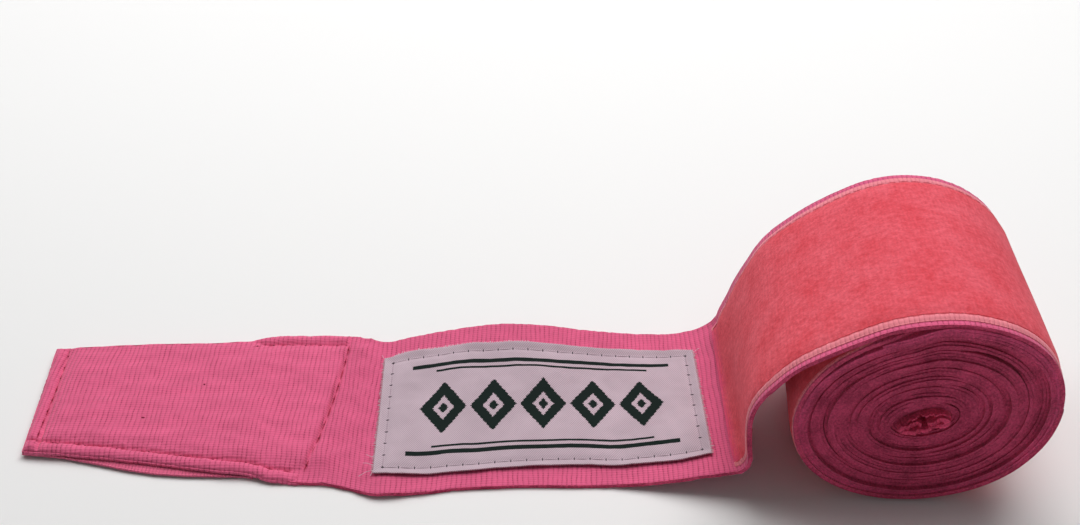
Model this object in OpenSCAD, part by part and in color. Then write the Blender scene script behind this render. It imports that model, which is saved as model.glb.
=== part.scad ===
// Elastic hand wrap, partly unrolled: the roll rests on its side, a short length of
// band arches down to the surface and ends in a flat label section and a closure tab.
// Millimetres. +X runs from the closure tab to the roll, +Y across the band, +Z up.
// The origin is the centre of the bounding box on the resting surface.

/* [Band] */
// Width of the elastic band
band_w = 50; // [40:1:60]
// Thickness of one layer of relaxed band
band_t = 0.8; // [0.5:0.1:1.2]
// Length of the whole part along X, from the tab's free end to the roll
total_l = 225; // [200:1:260]

/* [Roll] */
// Half of the roll's longer diameter, measured over the loop tape
roll_a = 27.5; // [24:0.1:32]
// Half of the roll's shorter diameter, measured over the loop tape
roll_b = 25.4; // [22:0.1:30]
// Tilt of the longer diameter above +X, in degrees
roll_tilt = 16; // [0:1:30]
// Half length of the flattened core
core_a = 7.5; // [5:0.1:10]
// Half height of the flattened core
core_b = 3.2; // [2:0.1:5]

/* [Arch] */
// X of the arch where it stands upright
arch_x = 49.3; // [46:0.1:54]
// Height at which the arch stands upright
arch_z = 13; // [8:0.5:20]
// Position on the roll where the arch leaves it, as an ellipse angle
leave_deg = 104; // [90:1:125]
// Length of the outer turn that is wound under the arch, as an ellipse angle
turn_deg = 312; // [270:1:330]

/* [Label section] */
// X where the flat band starts to rise to the arch
rise_x = 12; // [0:1:30]
// Height of the rise at the foot of the arch
rise_h = 4.2; // [0:0.1:8]
// X of the fold between the label section and the arch
foot_x = 45; // [42:0.1:48]
// X of the woven label's left end
label_x0 = -32; // [-36:0.5:-28]
// Length of the woven label
label_l = 75; // [70:0.5:80]
// Width of the woven label across the band
label_w = 38; // [34:0.5:44]
// Shift of the label across the band
label_y = -3; // [-5:0.5:5]
// Thickness of the woven label
label_t = 0.35; // [0.2:0.05:0.5]
// X of the seam that joins the tab to the band
seam_x = -45; // [-50:0.5:-40]

/* [Loop tape] */
// Width of the loop pile
loop_w = 43; // [38:0.5:46]
// Thickness of the loop pile
loop_t = 0.9; // [0.6:0.1:1.4]
// Width of each woven selvedge beside the pile
selvedge_w = 2; // [1:0.1:3]
// Thickness of the selvedges
selvedge_t = 0.5; // [0.3:0.1:0.8]

/* [Closure tab] */
// X of the fold line between the tab and the label section
fold_x = -62; // [-66:0.5:-58]
// Half width of the tab at its free end
tab_end = 17.3; // [14:0.1:22]
// Distance from the middle to the far edge at the fold line
tab_far = 20; // [17:0.1:24]
// Distance from the middle to the near edge at the fold line
tab_near = 23.5; // [18:0.1:24.5]
// Thickness of each of the two tab layers
tab_t = 0.7; // [0.4:0.1:1]
// Thickness of the hook tape, hooks included
hook_t = 1; // [0.7:0.1:1.6]
// Distance from the tab's edge to the hook tape's edge
hook_inset = 0.8; // [0.4:0.1:3]

/* [Stitching] */
// Width of a stitch line
thread_w = 0.6; // [0.4:0.1:1]
// Height of a stitch line above the cloth
thread_t = 0.25; // [0.15:0.05:0.4]
// Distance from an edge to its stitch line
stitch_in = 3.2; // [2:0.1:5]
// Distance from the label's edge to its stitch line
label_in = 2; // [1:0.1:3]

/* [Thumb loop] */
// Width of the thumb loop's tape
thumb_w = 14; // [10:1:20]
// Thickness of the thumb loop's tape
thumb_t = 0.8; // [0.5:0.1:1.2]

/* [Hidden] */
tab_x = -total_l / 2;
lie = sqrt(pow(roll_a * cos(roll_tilt), 2) + pow(roll_b * sin(roll_tilt), 2));
high = sqrt(pow(roll_a * sin(roll_tilt), 2) + pow(roll_b * cos(roll_tilt), 2));
roll_c = [total_l / 2 - lie, high];
skin_a = roll_a - loop_t;
skin_b = roll_b - loop_t;
pack_gap = 0.06;
wound_a = skin_a - band_t - pack_gap;
wound_b = skin_b - band_t - pack_gap;
half_w = band_w / 2;
fold_gap = 0.35;
turn_n = 104;
curve_n = 14;
core_n = 40;
loop_start = 5;
rise_n = 11;
rise_step = (foot_x - rise_x) / rise_n;
foot_deg = atan(2 * rise_h / (foot_x - rise_x));
label_x1 = label_x0 + label_l;
tab_z = hook_t + 2 * tab_t;
ply_x = fold_x + fold_gap;

// A point of a cubic curve from p to q, leaving along u and arriving along v.
function curve(p, u, q, v, t) =
    pow(1 - t, 3) * p + 3 * t * pow(1 - t, 2) * (p + u)
    + 3 * t * t * (1 - t) * (q - v) + pow(t, 3) * q;

// A point of the roll's tilted ellipse at ellipse angle f.
function oval(a, b, f) = roll_c + [
    a * cos(f) * cos(roll_tilt) - b * sin(f) * sin(roll_tilt),
    a * cos(f) * sin(roll_tilt) + b * sin(f) * cos(roll_tilt)];

// The unit direction of clockwise travel on that ellipse.
function oval_dir(a, b, f) =
    let (d = oval(a, b, f - 0.5) - oval(a, b, f + 0.5)) d / norm(d);

// The rise at knot k of the curve from the flat band to the arch.
function knot_rise(k) = rise_h * pow(k / rise_n, 2);

// The height that the band has gained at x, in straight runs between the knots.
function rise(x) =
    x <= rise_x ? 0
    : let (r = (x - rise_x) / rise_step, k = floor(r))
        knot_rise(k) + (r - k) * (knot_rise(k + 1) - knot_rise(k));

// The upper face of the flat tail from x0 to x1, bent only at the knots.
function tail_path(x0, x1) =
    let (
        knots = [for (k = [0 : rise_n]) rise_x + k * rise_step],
        inner = [for (x = knots) if (x > x0 && x < x1) x],
        xs = concat([x0], inner, [x1])
    ) [for (x = xs) [x, band_t + rise(x)]];

foot_p = [foot_x + fold_gap, band_t + rise_h + fold_gap * tan(foot_deg)];
foot_u = [cos(foot_deg), sin(foot_deg)];
arch_p = [arch_x, arch_z];
leave_p = oval(skin_a, skin_b, leave_deg);
leave_u = oval_dir(skin_a, skin_b, leave_deg);

// The outer face of the band from the foot, over the arch and round the roll.
outer_path = concat(
    [for (i = [0 : curve_n - 1])
        curve(foot_p, 3.4 * foot_u, arch_p, [0, 5], i / curve_n)],
    [for (i = [0 : curve_n - 1])
        curve(arch_p, [0, 16], leave_p, 19 * leave_u, i / curve_n)],
    [for (i = [0 : turn_n])
        oval(skin_a, skin_b, leave_deg - turn_deg * i / turn_n)]);

// The part of the outer path that the loop tape covers.
function drop(path, n) = [for (i = [n : len(path) - 1]) path[i]];
loop_path = drop(outer_path, loop_start);

// The unit normal of a path at point i, to the left of travel.
function normal(path, i) =
    let (
        d = path[min(i + 1, len(path) - 1)] - path[max(i - 1, 0)],
        u = d / norm(d)
    ) [-u[1], u[0]];

// A path moved by d to the left of travel.
function shifted(path, d) =
    [for (i = [0 : len(path) - 1]) path[i] + d * normal(path, i)];

function reversed(path) = [for (i = [len(path) - 1 : -1 : 0]) path[i]];

// A strip that lies between two heights above a path and spans y0 to y1.
module strip(path, low, top, y0, y1) {
    translate([0, y1, 0])
        rotate([90, 0, 0])
            linear_extrude(y1 - y0)
                polygon(concat(shifted(path, low), reversed(shifted(path, top))));
}

// A full oval about the roll's centre, as a polygon.
module oval_shape(a, b, n) {
    polygon([for (i = [0 : n - 1]) oval(a, b, 360 * i / n)]);
}

// The tab's outline, drawn in by a margin on its free end and its two sides.
module tab_shape(margin) {
    polygon([
        [tab_x + margin, -tab_end + margin],
        [fold_x, -tab_near + margin],
        [fold_x, tab_far - margin],
        [tab_x + margin, tab_end - margin]]);
}

// A line of stitching round the tab, at the given margin and height.
module tab_stitching(margin, z, h) {
    translate([0, 0, z])
        linear_extrude(h)
            difference() {
                tab_shape(margin);
                tab_shape(margin + thread_w);
                translate([fold_x - 1, -band_w])
                    square([2, 2 * band_w]);
            }
}

// The inner turns of the band, wound tight round a flattened core.
module band_wound_turns() {
    color("#8c2d55")
        translate([0, half_w, 0])
            rotate([90, 0, 0])
                linear_extrude(band_w)
                    difference() {
                        oval_shape(wound_a, wound_b, turn_n);
                        oval_shape(core_a, core_b, core_n);
                    }
}

// The arch and the outermost turn of the band.
module band_outer_turn() {
    color("#e0508f")
        strip(outer_path, -band_t, 0, -half_w, half_w);
}

// The loop pile that the hook tape closes on.
module loop_tape() {
    color("#de5564")
        strip(loop_path, 0, loop_t, -loop_w / 2, loop_w / 2);
}

// The woven selvedge on the near side of the pile.
module loop_selvedge_near() {
    color("#ef8fa0")
        strip(loop_path, 0, selvedge_t, -loop_w / 2 - selvedge_w, -loop_w / 2);
}

// The woven selvedge on the far side of the pile.
module loop_selvedge_far() {
    color("#ef8fa0")
        strip(loop_path, 0, selvedge_t, loop_w / 2, loop_w / 2 + selvedge_w);
}

// A line of stitching along a selvedge, centred on y.
module selvedge_stitching(y) {
    color("#c9324f")
        strip(loop_path, selvedge_t, selvedge_t + thread_t,
            y - thread_w / 2, y + thread_w / 2);
}

module loop_edge_stitch_near() {
    selvedge_stitching(-loop_w / 2 - selvedge_w / 2);
}

module loop_edge_stitch_far() {
    selvedge_stitching(loop_w / 2 + selvedge_w / 2);
}

// The stitching across the start of the loop tape.
module loop_start_stitch() {
    start_path = [for (i = [loop_start - 3 : loop_start - 1]) outer_path[i]];
    color("#c9324f")
        strip(start_path, 0, thread_t, -loop_w / 2, loop_w / 2);
}

// The hemmed inner end of the band, lying flat in the core.
module inner_end_hem() {
    color("#b03a6c")
        translate([roll_c[0], 0, roll_c[1]])
            rotate([0, -roll_tilt, 0])
                translate([-5, -half_w + 1, -1.9])
                    cube([8.5, band_w - 2, 1.4]);
}

// The thumb loop, folded flat on top of the hem.
module thumb_loop() {
    color("#d24c86")
        translate([roll_c[0], -half_w + 0.5 + thumb_w, roll_c[1]])
            rotate([0, -roll_tilt, 0])
                rotate([90, 0, 0])
                    linear_extrude(thumb_w)
                        difference() {
                            translate([-5, -0.4])
                                square([9.4, 2.5]);
                            translate([-5 + thumb_t, -0.4 + thumb_t])
                                square([9.4 - 2 * thumb_t, 2.5 - 2 * thumb_t]);
                        }
}

// The bar tack that sews the thumb loop to the hem.
module thumb_loop_bar_tack() {
    color("#c9324f")
        translate([roll_c[0], -half_w + 4, roll_c[1]])
            rotate([0, -roll_tilt, 0])
                translate([-6, 0, -1.2])
                    cube([0.9, 7, 1.6]);
}

// The band between the tab's fold line and the foot of the arch.
module band_label_section() {
    color("#e0508f")
        strip(tail_path(ply_x, foot_x), -band_t, 0, -half_w, half_w);
}

// The second layer, where the tab's cloth is sewn over the band.
module seam_allowance_ply() {
    color("#d9488a")
        translate([ply_x, -half_w + 0.4, band_t])
            cube([seam_x + 1.5 - ply_x, band_w - 0.8, tab_t]);
}

// The stitching across the band that joins the tab to it.
module cross_seam_stitch() {
    color("#c9324f")
        translate([seam_x - thread_w, -half_w + 1, band_t + tab_t])
            cube([thread_w, band_w - 2, thread_t]);
}

// The woven label.
module woven_label() {
    color("#d2c6d2")
        strip(tail_path(label_x0, label_x1), 0, label_t,
            label_y - label_w / 2, label_y + label_w / 2);
}

// The line of stitching round the label.
module label_stitch() {
    near = label_y - label_w / 2 + label_in;
    far = label_y + label_w / 2 - label_in;
    x0 = label_x0 + label_in;
    x1 = label_x1 - label_in;
    path = tail_path(label_x0, label_x1);
    low = label_t;
    top = label_t + thread_t;
    color("#8b8f99")
        intersection() {
            difference() {
                strip(path, low, top, near, far);
                translate([x0 + thread_w, near + thread_w, -1])
                    cube([x1 - x0 - 2 * thread_w, far - near - 2 * thread_w, 20]);
            }
            translate([x0, near - 1, -1])
                cube([x1 - x0, far - near + 2, 20]);
        }
}

// The tab's upper layer.
module tab_upper_ply() {
    color("#e0508f")
        translate([0, 0, hook_t + tab_t])
            linear_extrude(tab_t)
                tab_shape(0);
}

// The tab's lower layer, which carries the hook tape.
module tab_lower_ply() {
    color("#d9488a")
        translate([0, 0, hook_t])
            linear_extrude(tab_t)
                tab_shape(0.3);
}

// The hook tape under the tab.
module hook_tape() {
    color("#b23a6b")
        linear_extrude(hook_t)
            tab_shape(hook_inset);
}

// The topstitching round the tab.
module tab_edge_stitch() {
    color("#c9324f")
        tab_stitching(stitch_in, tab_z, thread_t);
}

// The line of stitching that holds the hook tape, across the root of the tab.
module hook_tape_stitch() {
    side = stitch_in + 2 * thread_w;
    color("#c9324f")
        translate([fold_x - 2.2, -tab_near + side, tab_z])
            cube([thread_w, tab_near + tab_far - 2 * side, thread_t]);
}

band_wound_turns();
band_outer_turn();
loop_tape();
loop_selvedge_near();
loop_selvedge_far();
loop_edge_stitch_near();
loop_edge_stitch_far();
loop_start_stitch();
inner_end_hem();
thumb_loop();
thumb_loop_bar_tack();
band_label_section();
seam_allowance_ply();
cross_seam_stitch();
woven_label();
label_stitch();
tab_upper_ply();
tab_lower_ply();
hook_tape();
tab_edge_stitch();
hook_tape_stitch();
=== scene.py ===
"""A partly unrolled elastic hand wrap: its cloth, label, stitching and hook tape."""

import logging
import math
from bisect import bisect_right
from dataclasses import dataclass, field
from enum import Enum
from typing import Callable, Iterable, Sequence

import bmesh
import bpy
from mathutils import Euler, Matrix, Vector, noise


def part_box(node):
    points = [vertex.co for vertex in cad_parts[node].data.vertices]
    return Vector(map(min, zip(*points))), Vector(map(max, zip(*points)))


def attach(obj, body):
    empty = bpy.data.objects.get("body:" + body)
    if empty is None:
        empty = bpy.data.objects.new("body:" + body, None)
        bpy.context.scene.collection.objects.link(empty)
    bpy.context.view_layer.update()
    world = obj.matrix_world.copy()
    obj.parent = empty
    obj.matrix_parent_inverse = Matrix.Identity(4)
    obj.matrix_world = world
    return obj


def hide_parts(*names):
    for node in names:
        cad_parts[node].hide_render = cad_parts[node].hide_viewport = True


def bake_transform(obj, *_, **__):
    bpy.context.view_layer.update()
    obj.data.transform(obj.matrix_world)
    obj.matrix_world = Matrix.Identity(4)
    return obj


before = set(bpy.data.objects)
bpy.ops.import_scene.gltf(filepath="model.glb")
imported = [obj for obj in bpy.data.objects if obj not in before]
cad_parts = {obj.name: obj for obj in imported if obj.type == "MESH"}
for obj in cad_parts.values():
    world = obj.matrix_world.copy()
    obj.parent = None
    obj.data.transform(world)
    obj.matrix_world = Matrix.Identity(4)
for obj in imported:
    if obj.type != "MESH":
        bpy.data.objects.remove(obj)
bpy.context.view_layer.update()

LOG = logging.getLogger("hand_wrap")
MM = 0.001
TURN = 2.0 * math.pi
UV_NAME = "cloth"
UP = Vector((0.0, 0.0, 1.0))
ACROSS = Vector((0.0, 1.0, 0.0))
FLOOR_GAP = 0.02 * MM


class Side(Enum):
    """The two long edges of the band."""

    NEAR = -1
    FAR = 1


class Body(Enum):
    """The rigid bodies that the pieces ride on."""

    ROLL = "roll"
    LABEL = "label_section"
    TAB = "closure_tab"


# --------------------------------------------------------------------------- helpers


def lerp(a: float, b: float, t: float) -> float:
    """The value a share t of the way from a to b."""
    return a + (b - a) * t


def smooth(a: float, b: float, x: float) -> float:
    """0 below a, 1 above b, and a smooth step between."""
    t = min(1.0, max(0.0, (x - a) / (b - a)))
    return t * t * (3.0 - 2.0 * t)


def hump(x: float, centre: float, width: float) -> float:
    """A bell of height 1 at centre, falling to 0.37 at one width from it."""
    return math.exp(-(((x - centre) / width) ** 2))


def wobble(x: float, y: float, z: float = 0.0) -> float:
    """Smooth noise from about -1 to 1."""
    return noise.noise(Vector((x, y, z)))


def chain(knots: Sequence[tuple[float, float]], x: float) -> float:
    """A smooth curve through (x, value) knots, held level beyond both ends.

    Args:
        knots: the points, in order of x.
        x: where the curve is read.

    Returns:
        The value at x, which never overshoots the knots on its two sides.
    """
    last = len(knots) - 1
    if x <= knots[0][0]:
        return knots[0][1]
    if x >= knots[last][0]:
        return knots[last][1]
    i = next(i for i in range(last) if x <= knots[i + 1][0])

    def rate(j: int) -> float:
        """The slope of the straight line from knot j to the next."""
        if not 0 <= j < last:
            return 0.0
        return (knots[j + 1][1] - knots[j][1]) / (knots[j + 1][0] - knots[j][0])

    before, here, after = rate(i - 1), rate(i), rate(i + 1)
    slope0 = 2.0 * before * here / (before + here) if before * here > 0.0 else 0.0
    slope1 = 2.0 * here * after / (here + after) if here * after > 0.0 else 0.0
    x0, v0 = knots[i]
    x1, v1 = knots[i + 1]
    h = x1 - x0
    t = (x - x0) / h
    curve = lerp(v0, v1, t * t * (3.0 - 2.0 * t))
    return curve + h * t * (1.0 - t) * ((1.0 - t) * slope0 - t * slope1)


def cubic(p: Vector, u: Vector, q: Vector, v: Vector, t: float) -> Vector:
    """A point of the curve from p, leaving along u, to q, arriving along v."""
    s = 1.0 - t
    return s**3 * p + 3 * t * s * s * (p + u) + 3 * t * t * s * (q - v) + t**3 * q


# ------------------------------------------------------------------ the band's course


class SideLine:
    """A line in the XZ plane that can be walked by its length."""

    def __init__(self, points: Iterable[Vector]) -> None:
        """Keeps the points and measures them.

        Args:
            points: (x, z) points, in order, in metres.
        """
        self.points = [Vector(p) for p in points]
        self.marks = [0.0]
        for a, b in zip(self.points, self.points[1:]):
            self.marks.append(self.marks[-1] + (b - a).length)
        last = len(self.points) - 1
        self.normals = []
        for i in range(last + 1):
            d = self.points[min(i + 1, last)] - self.points[max(i - 1, 0)]
            d.normalize()
            self.normals.append(Vector((-d.y, d.x)))

    @property
    def length(self) -> float:
        """The line's whole length."""
        return self.marks[-1]

    def at(self, s: float) -> tuple[Vector, Vector]:
        """The point and the outward normal at length s.

        Args:
            s: length from the line's start, in metres.

        Returns:
            The point and the normal as vectors in 3-D, with y = 0.
        """
        s = min(max(s, 0.0), self.length)
        i = min(bisect_right(self.marks, s) - 1, len(self.points) - 2)
        t = (s - self.marks[i]) / max(self.marks[i + 1] - self.marks[i], 1e-12)
        p = self.points[i].lerp(self.points[i + 1], t)
        n = self.normals[i].lerp(self.normals[i + 1], t).normalized()
        return Vector((p.x, 0.0, p.y)), Vector((n.x, 0.0, n.y))

    def where_x(self, x: float) -> float:
        """The length at which the line first reaches x."""
        for i, (a, b) in enumerate(zip(self.points, self.points[1:])):
            if a.x <= x <= b.x:
                t = (x - a.x) / max(b.x - a.x, 1e-12)
                return lerp(self.marks[i], self.marks[i + 1], t)
        raise ValueError(f"the line never reaches x = {x}")


@dataclass
class RollShape:
    """The roll seen from the side: a tilted oval that stands on the surface."""

    long_half: float = 27.5 * MM
    short_half: float = 25.4 * MM
    tilt: float = math.radians(16.0)
    centre: Vector = field(default_factory=lambda: Vector((0.0, 0.0)))

    def __post_init__(self) -> None:
        """Centres the oval on the CAD loop tape."""
        low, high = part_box("loop_tape")
        c, s = math.cos(self.tilt), math.sin(self.tilt)
        lie = math.hypot(self.long_half * c, self.short_half * s)
        self.centre = Vector((high.x - lie, (low.z + high.z) / 2.0))

    def point(self, angle: float, inset: float = 0.0) -> Vector:
        """The (x, z) point at an ellipse angle, a distance inside the oval."""
        return self.oval(angle, self.long_half - inset, self.short_half - inset)

    def oval(self, angle: float, a: float, b: float) -> Vector:
        """The (x, z) point at an ellipse angle of the oval with half sizes a, b."""
        x, z = a * math.cos(angle), b * math.sin(angle)
        c, s = math.cos(self.tilt), math.sin(self.tilt)
        return self.centre + Vector((x * c - z * s, x * s + z * c))

    def heading(self, angle: float, inset: float) -> Vector:
        """The unit direction of clockwise travel at an ellipse angle."""
        step = self.point(angle - 0.01, inset) - self.point(angle + 0.01, inset)
        return step.normalized()


@dataclass
class Band:
    """The outer course of the band, from under the tab to the end of its outer turn."""

    width: float = 50.0 * MM
    thick: float = 0.8 * MM
    start_x: float = -60.0 * MM
    rise_x: float = 14.0 * MM
    foot_x: float = 45.35 * MM
    rise: float = 4.2 * MM
    arch: Vector = field(default_factory=lambda: Vector((49.3 * MM, 13.0 * MM)))
    tape_thick: float = 0.9 * MM
    leave: float = math.radians(104.0)
    turn: float = math.radians(378.0)
    dive: float = 1.72 * MM
    lean: float = 2.0 * MM
    flare: float = 1.1 * MM
    roll: RollShape = field(default_factory=RollShape)
    line: SideLine = field(init=False)
    foot_s: float = field(init=False)

    def __post_init__(self) -> None:
        """Lays out the band's upper face as one side line."""
        grow = 2.0 * self.rise / (self.foot_x - self.rise_x)
        pts = []
        n = 90
        for i in range(n):
            x = lerp(self.start_x, self.foot_x, i / n)
            up = max(0.0, (x - self.rise_x) / (self.foot_x - self.rise_x))
            pts.append(Vector((x, self.thick + self.rise * up * up)))
        foot = Vector((self.foot_x, self.thick + self.rise))
        away = Vector((1.0, grow)).normalized()
        leave = self.roll.point(self.leave, self.tape_thick)
        along = self.roll.heading(self.leave, self.tape_thick)
        for i in range(24):
            pts.append(
                cubic(foot, 3.4 * MM * away, self.arch, 5 * MM * UP.xz, i / 24)
            )
        for i in range(60):
            pts.append(
                cubic(self.arch, 16 * MM * UP.xz, leave, 19 * MM * along, i / 60)
            )
        for i in range(241):
            angle = self.turn * i / 240
            inset = self.tape_thick + self.dive * smooth(0.73, 0.985, angle / TURN)
            pts.append(self.roll.point(self.leave - angle, inset))
        self.line = SideLine(pts)
        self.foot_s = self.line.where_x(self.foot_x - 0.1 * MM)

    # The courses of the two long edges, as (x, y) knots in millimetres.
    NEAR_EDGE = (
        (-60.0, -22.3), (-57.0, -22.8), (-53.0, -24.1), (-48.0, -24.6), (-43.0, -24.8),
        (-37.0, -26.0), (-30.0, -28.0), (-22.0, -27.2), (-13.0, -25.6), (2.0, -24.6),
        (20.0, -24.2), (45.0, -25.0),
    )
    FAR_EDGE = (
        (-60.0, 21.0), (-50.0, 22.2), (-43.0, 22.8), (-34.5, 20.6),
        (-26.0, 22.6), (-16.0, 24.2), (0.0, 25.0), (22.0, 24.8), (45.0, 24.8),
    )

    def edge(self, s: float, side: Side) -> float:
        """The y of a long edge at length s."""
        x = self.line.at(s)[0].x
        if s < self.foot_s:
            knots = self.NEAR_EDGE if side is Side.NEAR else self.FAR_EDGE
            y = chain(knots, x / MM) * MM
        else:
            y = side.value * self.width / 2.0
            y *= 1.0 - 0.012 * smooth(0.0, 30 * MM, s - self.foot_s)
            y *= 1.0 - 0.035 * smooth(-6 * MM, -1 * MM, s - self.line.length)
        return y + 0.22 * MM * wobble(s * 90.0, 3.1 * side.value)

    # How the foot and the arch slew: (length past the foot, twist, shift), in mm.
    SLEW = (
        (-30.0, 0.0, 0.0), (-2.0, -1.7, -0.7), (4.0, -1.5, -0.6), (13.0, 0.2, 0.0),
        (24.0, 1.9, 0.1), (32.0, 1.4, 0.1), (40.0, 0.6, 0.0), (52.0, 0.0, 0.0),
    )

    def slew(self, s: float, y: float) -> float:
        """How far a point of the foot or arch is moved along X."""
        past = (s - self.foot_s) / MM
        twist = chain([(a, b) for a, b, _ in self.SLEW], past)
        shift = chain([(a, c) for a, _, c in self.SLEW], past)
        return (twist * y / (self.width / 2.0) + shift) * MM

    def seam(self, y: float) -> float:
        """The x of the oblique seam that joins the tab."""
        near = max(0.0, 0.5 - y / self.width)
        return (-42.3 - 6.2 * near**1.9) * MM

    def wave(self, s: float, y: float) -> float:
        """The height that the cloth stands above its plain course."""
        past = s - self.foot_s
        arch = 0.2 * wobble(s * 55.0, y * 40.0, 7.0)
        if past > 8 * MM:
            return arch * MM
        x = min(self.line.at(s)[0].x, self.foot_x) / MM
        t = y / (self.width / 2.0)
        up = 2.9 * hump(x, -2.0, 19.0) * smooth(-0.35, 1.0, t)
        up += 1.5 * hump(x, 42.0, 12.0) * smooth(-0.2, 1.0, -t)
        up -= 2.2 * hump(x, 40.0, 12.0) * smooth(-0.3, 1.0, t)
        up += 0.8 * hump(x, -29.0, 6.0) * smooth(0.2, 1.0, -t)
        right = x - self.seam(y) / MM
        rise = smooth(-0.5, 1.6, right) * (1.0 - smooth(4.0, 11.0, right))
        up += 0.95 * rise * smooth(-1.0, -0.72, t)
        crumple = hump(right, 3.5, 4.5)
        up += crumple * 0.9 * wobble(x * 0.16, y * 210.0, 4.0)
        up += crumple * 0.5 * wobble(x * 0.35, y * 420.0, 14.0)
        up += 0.25 * wobble(x * 0.11, y * 130.0, 4.0)
        up += 0.12 * wobble(x * 0.4, y * 420.0, 9.0)
        up = lerp(up, arch, smooth(0.0, 8 * MM, past))
        return max(up * MM, -self.line.at(s)[0].z + self.thick + 0.05 * MM)

    def point(self, s: float, y: float, up: float = 0.0) -> Vector:
        """A point of the band's surface.

        Args:
            s: length along the band.
            y: place across the band.
            up: height above the band's upper face.

        Returns:
            The point in the part's own frame.
        """
        p, n = self.line.at(s)
        under = 1.0 - smooth(-0.9 * MM, -0.2 * MM, p.x - self.seam(y))
        above = max(0.0, up + self.thick)
        up -= 0.35 * MM * under
        q = p + n * (self.wave(s, y) + up) + ACROSS * y
        q.x += self.slew(s, y)
        q += self.creep(q) * smooth(28 * MM, 40 * MM, s - self.foot_s)
        q.z = max(q.z, 0.03 * MM + above * 0.999)
        return q

    def creep(self, p: Vector) -> Vector:
        """How far the roll's cloth has slid at a point: it is wider at its near end."""
        along = p.x - self.roll.centre.x
        left, right = smooth(0.0, 22 * MM, -along), smooth(0.0, 22 * MM, along)
        t = p.y / (self.width / 2.0)
        wide = self.flare * (left * t - 0.6 * right * (t - 1.0))
        return Vector((wide, -self.lean * smooth(0.0, 38 * MM, 38 * MM - p.z), 0.0))

    def normal(self, s: float, y: float) -> Vector:
        """The outward normal of the wavy surface."""
        e = 0.6 * MM
        du = self.point(s + e, y) - self.point(s - e, y)
        dv = self.point(s, y + e) - self.point(s, y - e)
        return du.cross(dv).normalized()


# --------------------------------------------------------------------- mesh builders


Placer = Callable[[float, float, float], Vector]
Ruler = Callable[[float, float], tuple[float, float]]


def finish_mesh(bm: bmesh.types.BMesh, name: str, sharp: float = 40.0) -> bpy.types.Object:
    """Turns a bmesh into a smooth-shaded object in the scene.

    Args:
        bm: the mesh, which is freed.
        name: the piece's name.
        sharp: edges that turn by more than this many degrees stay sharp.

    Returns:
        The new object.
    """
    bmesh.ops.recalc_face_normals(bm, faces=bm.faces)
    mesh = bpy.data.meshes.new(name)
    bm.to_mesh(mesh)
    bm.free()
    mesh.shade_smooth()
    mesh.set_sharp_from_angle(angle=math.radians(sharp))
    obj = bpy.data.objects.new(name, mesh)
    bpy.context.scene.collection.objects.link(obj)
    return obj


def cloth_slab(
    name: str,
    columns: int,
    rows: Sequence[float],
    place: Placer,
    ruler: Ruler,
    rim: float = 0.0,
    rim_slot: int = 0,
) -> bpy.types.Object:
    """A closed thin slab of cloth, which is kept just above the surface.

    Args:
        name: the piece's name.
        columns: number of steps along the cloth.
        rows: shares of the width at which the rows lie, from 0 to 1.
        place: gives the point for (share along, share across, depth 0 or 1).
        ruler: gives the flat (length, width) for (share along, share across).
        rim: radius of the rounding along the slab's rim, or 0 for none.
        rim_slot: material index of the rim's own faces.

    Returns:
        The finished object.
    """
    bm = bmesh.new()
    steps = len(rows) - 1
    bmesh.ops.create_grid(bm, x_segments=columns, y_segments=steps, size=0.5)
    share = bm.verts.layers.float_vector.new("share")
    for v in bm.verts:
        row = min(steps, max(0, round((v.co.y + 0.5) * steps)))
        v[share] = Vector((v.co.x + 0.5, rows[row], 0.0))
    top = list(bm.faces)
    made = bmesh.ops.extrude_face_region(bm, geom=top, use_keep_orig=True)
    under = [g for g in made["geom"] if isinstance(g, bmesh.types.BMVert)]
    for v in under:
        v[share].z = 1.0
    rim_edges = [
        e for e in bm.edges
        if e.verts[0][share].z == e.verts[1][share].z
        and any({w[share].z for w in f.verts} == {0.0, 1.0} for f in e.link_faces)
    ]
    for v in bm.verts:
        s, t, d = v[share]
        v.co = place(s, t, d)
    layer = bm.loops.layers.uv.new(UV_NAME)
    for f in bm.faces:
        if len({v[share].z for v in f.verts}) > 1:
            f.material_index = rim_slot
        for loop in f.loops:
            s, t, _ = loop.vert[share]
            loop[layer].uv = ruler(s, t)
    if rim > 0.0:
        bmesh.ops.bevel(
            bm, geom=rim_edges, offset=rim, segments=2, profile=0.5,
            affect="EDGES", material=-1, clamp_overlap=True,
        )
    bm.verts.layers.float_vector.remove(share)
    for v in bm.verts:
        v.co.z = max(v.co.z, FLOOR_GAP)
    return finish_mesh(bm, name)


def even_rows(steps: int, crowd: float = 0.0) -> list[float]:
    """Row shares from 0 to 1.

    Args:
        steps: number of steps.
        crowd: 0 for even rows, towards 1 to crowd them at both edges.

    Returns:
        The list of shares.
    """
    out = []
    for i in range(steps + 1):
        t = i / steps
        out.append(lerp(t, 0.5 - 0.5 * math.cos(math.pi * t), crowd))
    return out


@dataclass
class Thread:
    """One kind of stitch: its length, gap and thickness."""

    stitch: float = 3.0 * MM
    gap: float = 0.8 * MM
    radius: float = 0.18 * MM
    bury: float = 0.35


class Stamp:
    """A small shape that is set into a mesh many times."""

    def __init__(self, name: str, draw: Callable[[bmesh.types.BMesh], None]) -> None:
        """Draws the shape once.

        Args:
            name: the template mesh's name.
            draw: adds the shape to an empty mesh.
        """
        bm = bmesh.new()
        draw(bm)
        self.mesh = bpy.data.meshes.new(name)
        bm.to_mesh(self.mesh)
        bm.free()

    def press(self, bm: bmesh.types.BMesh, place: Matrix) -> None:
        """Adds a copy of the shape, placed by a matrix."""
        copy = self.mesh.copy()
        copy.transform(place)
        bm.from_mesh(copy)
        bpy.data.meshes.remove(copy)


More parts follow.
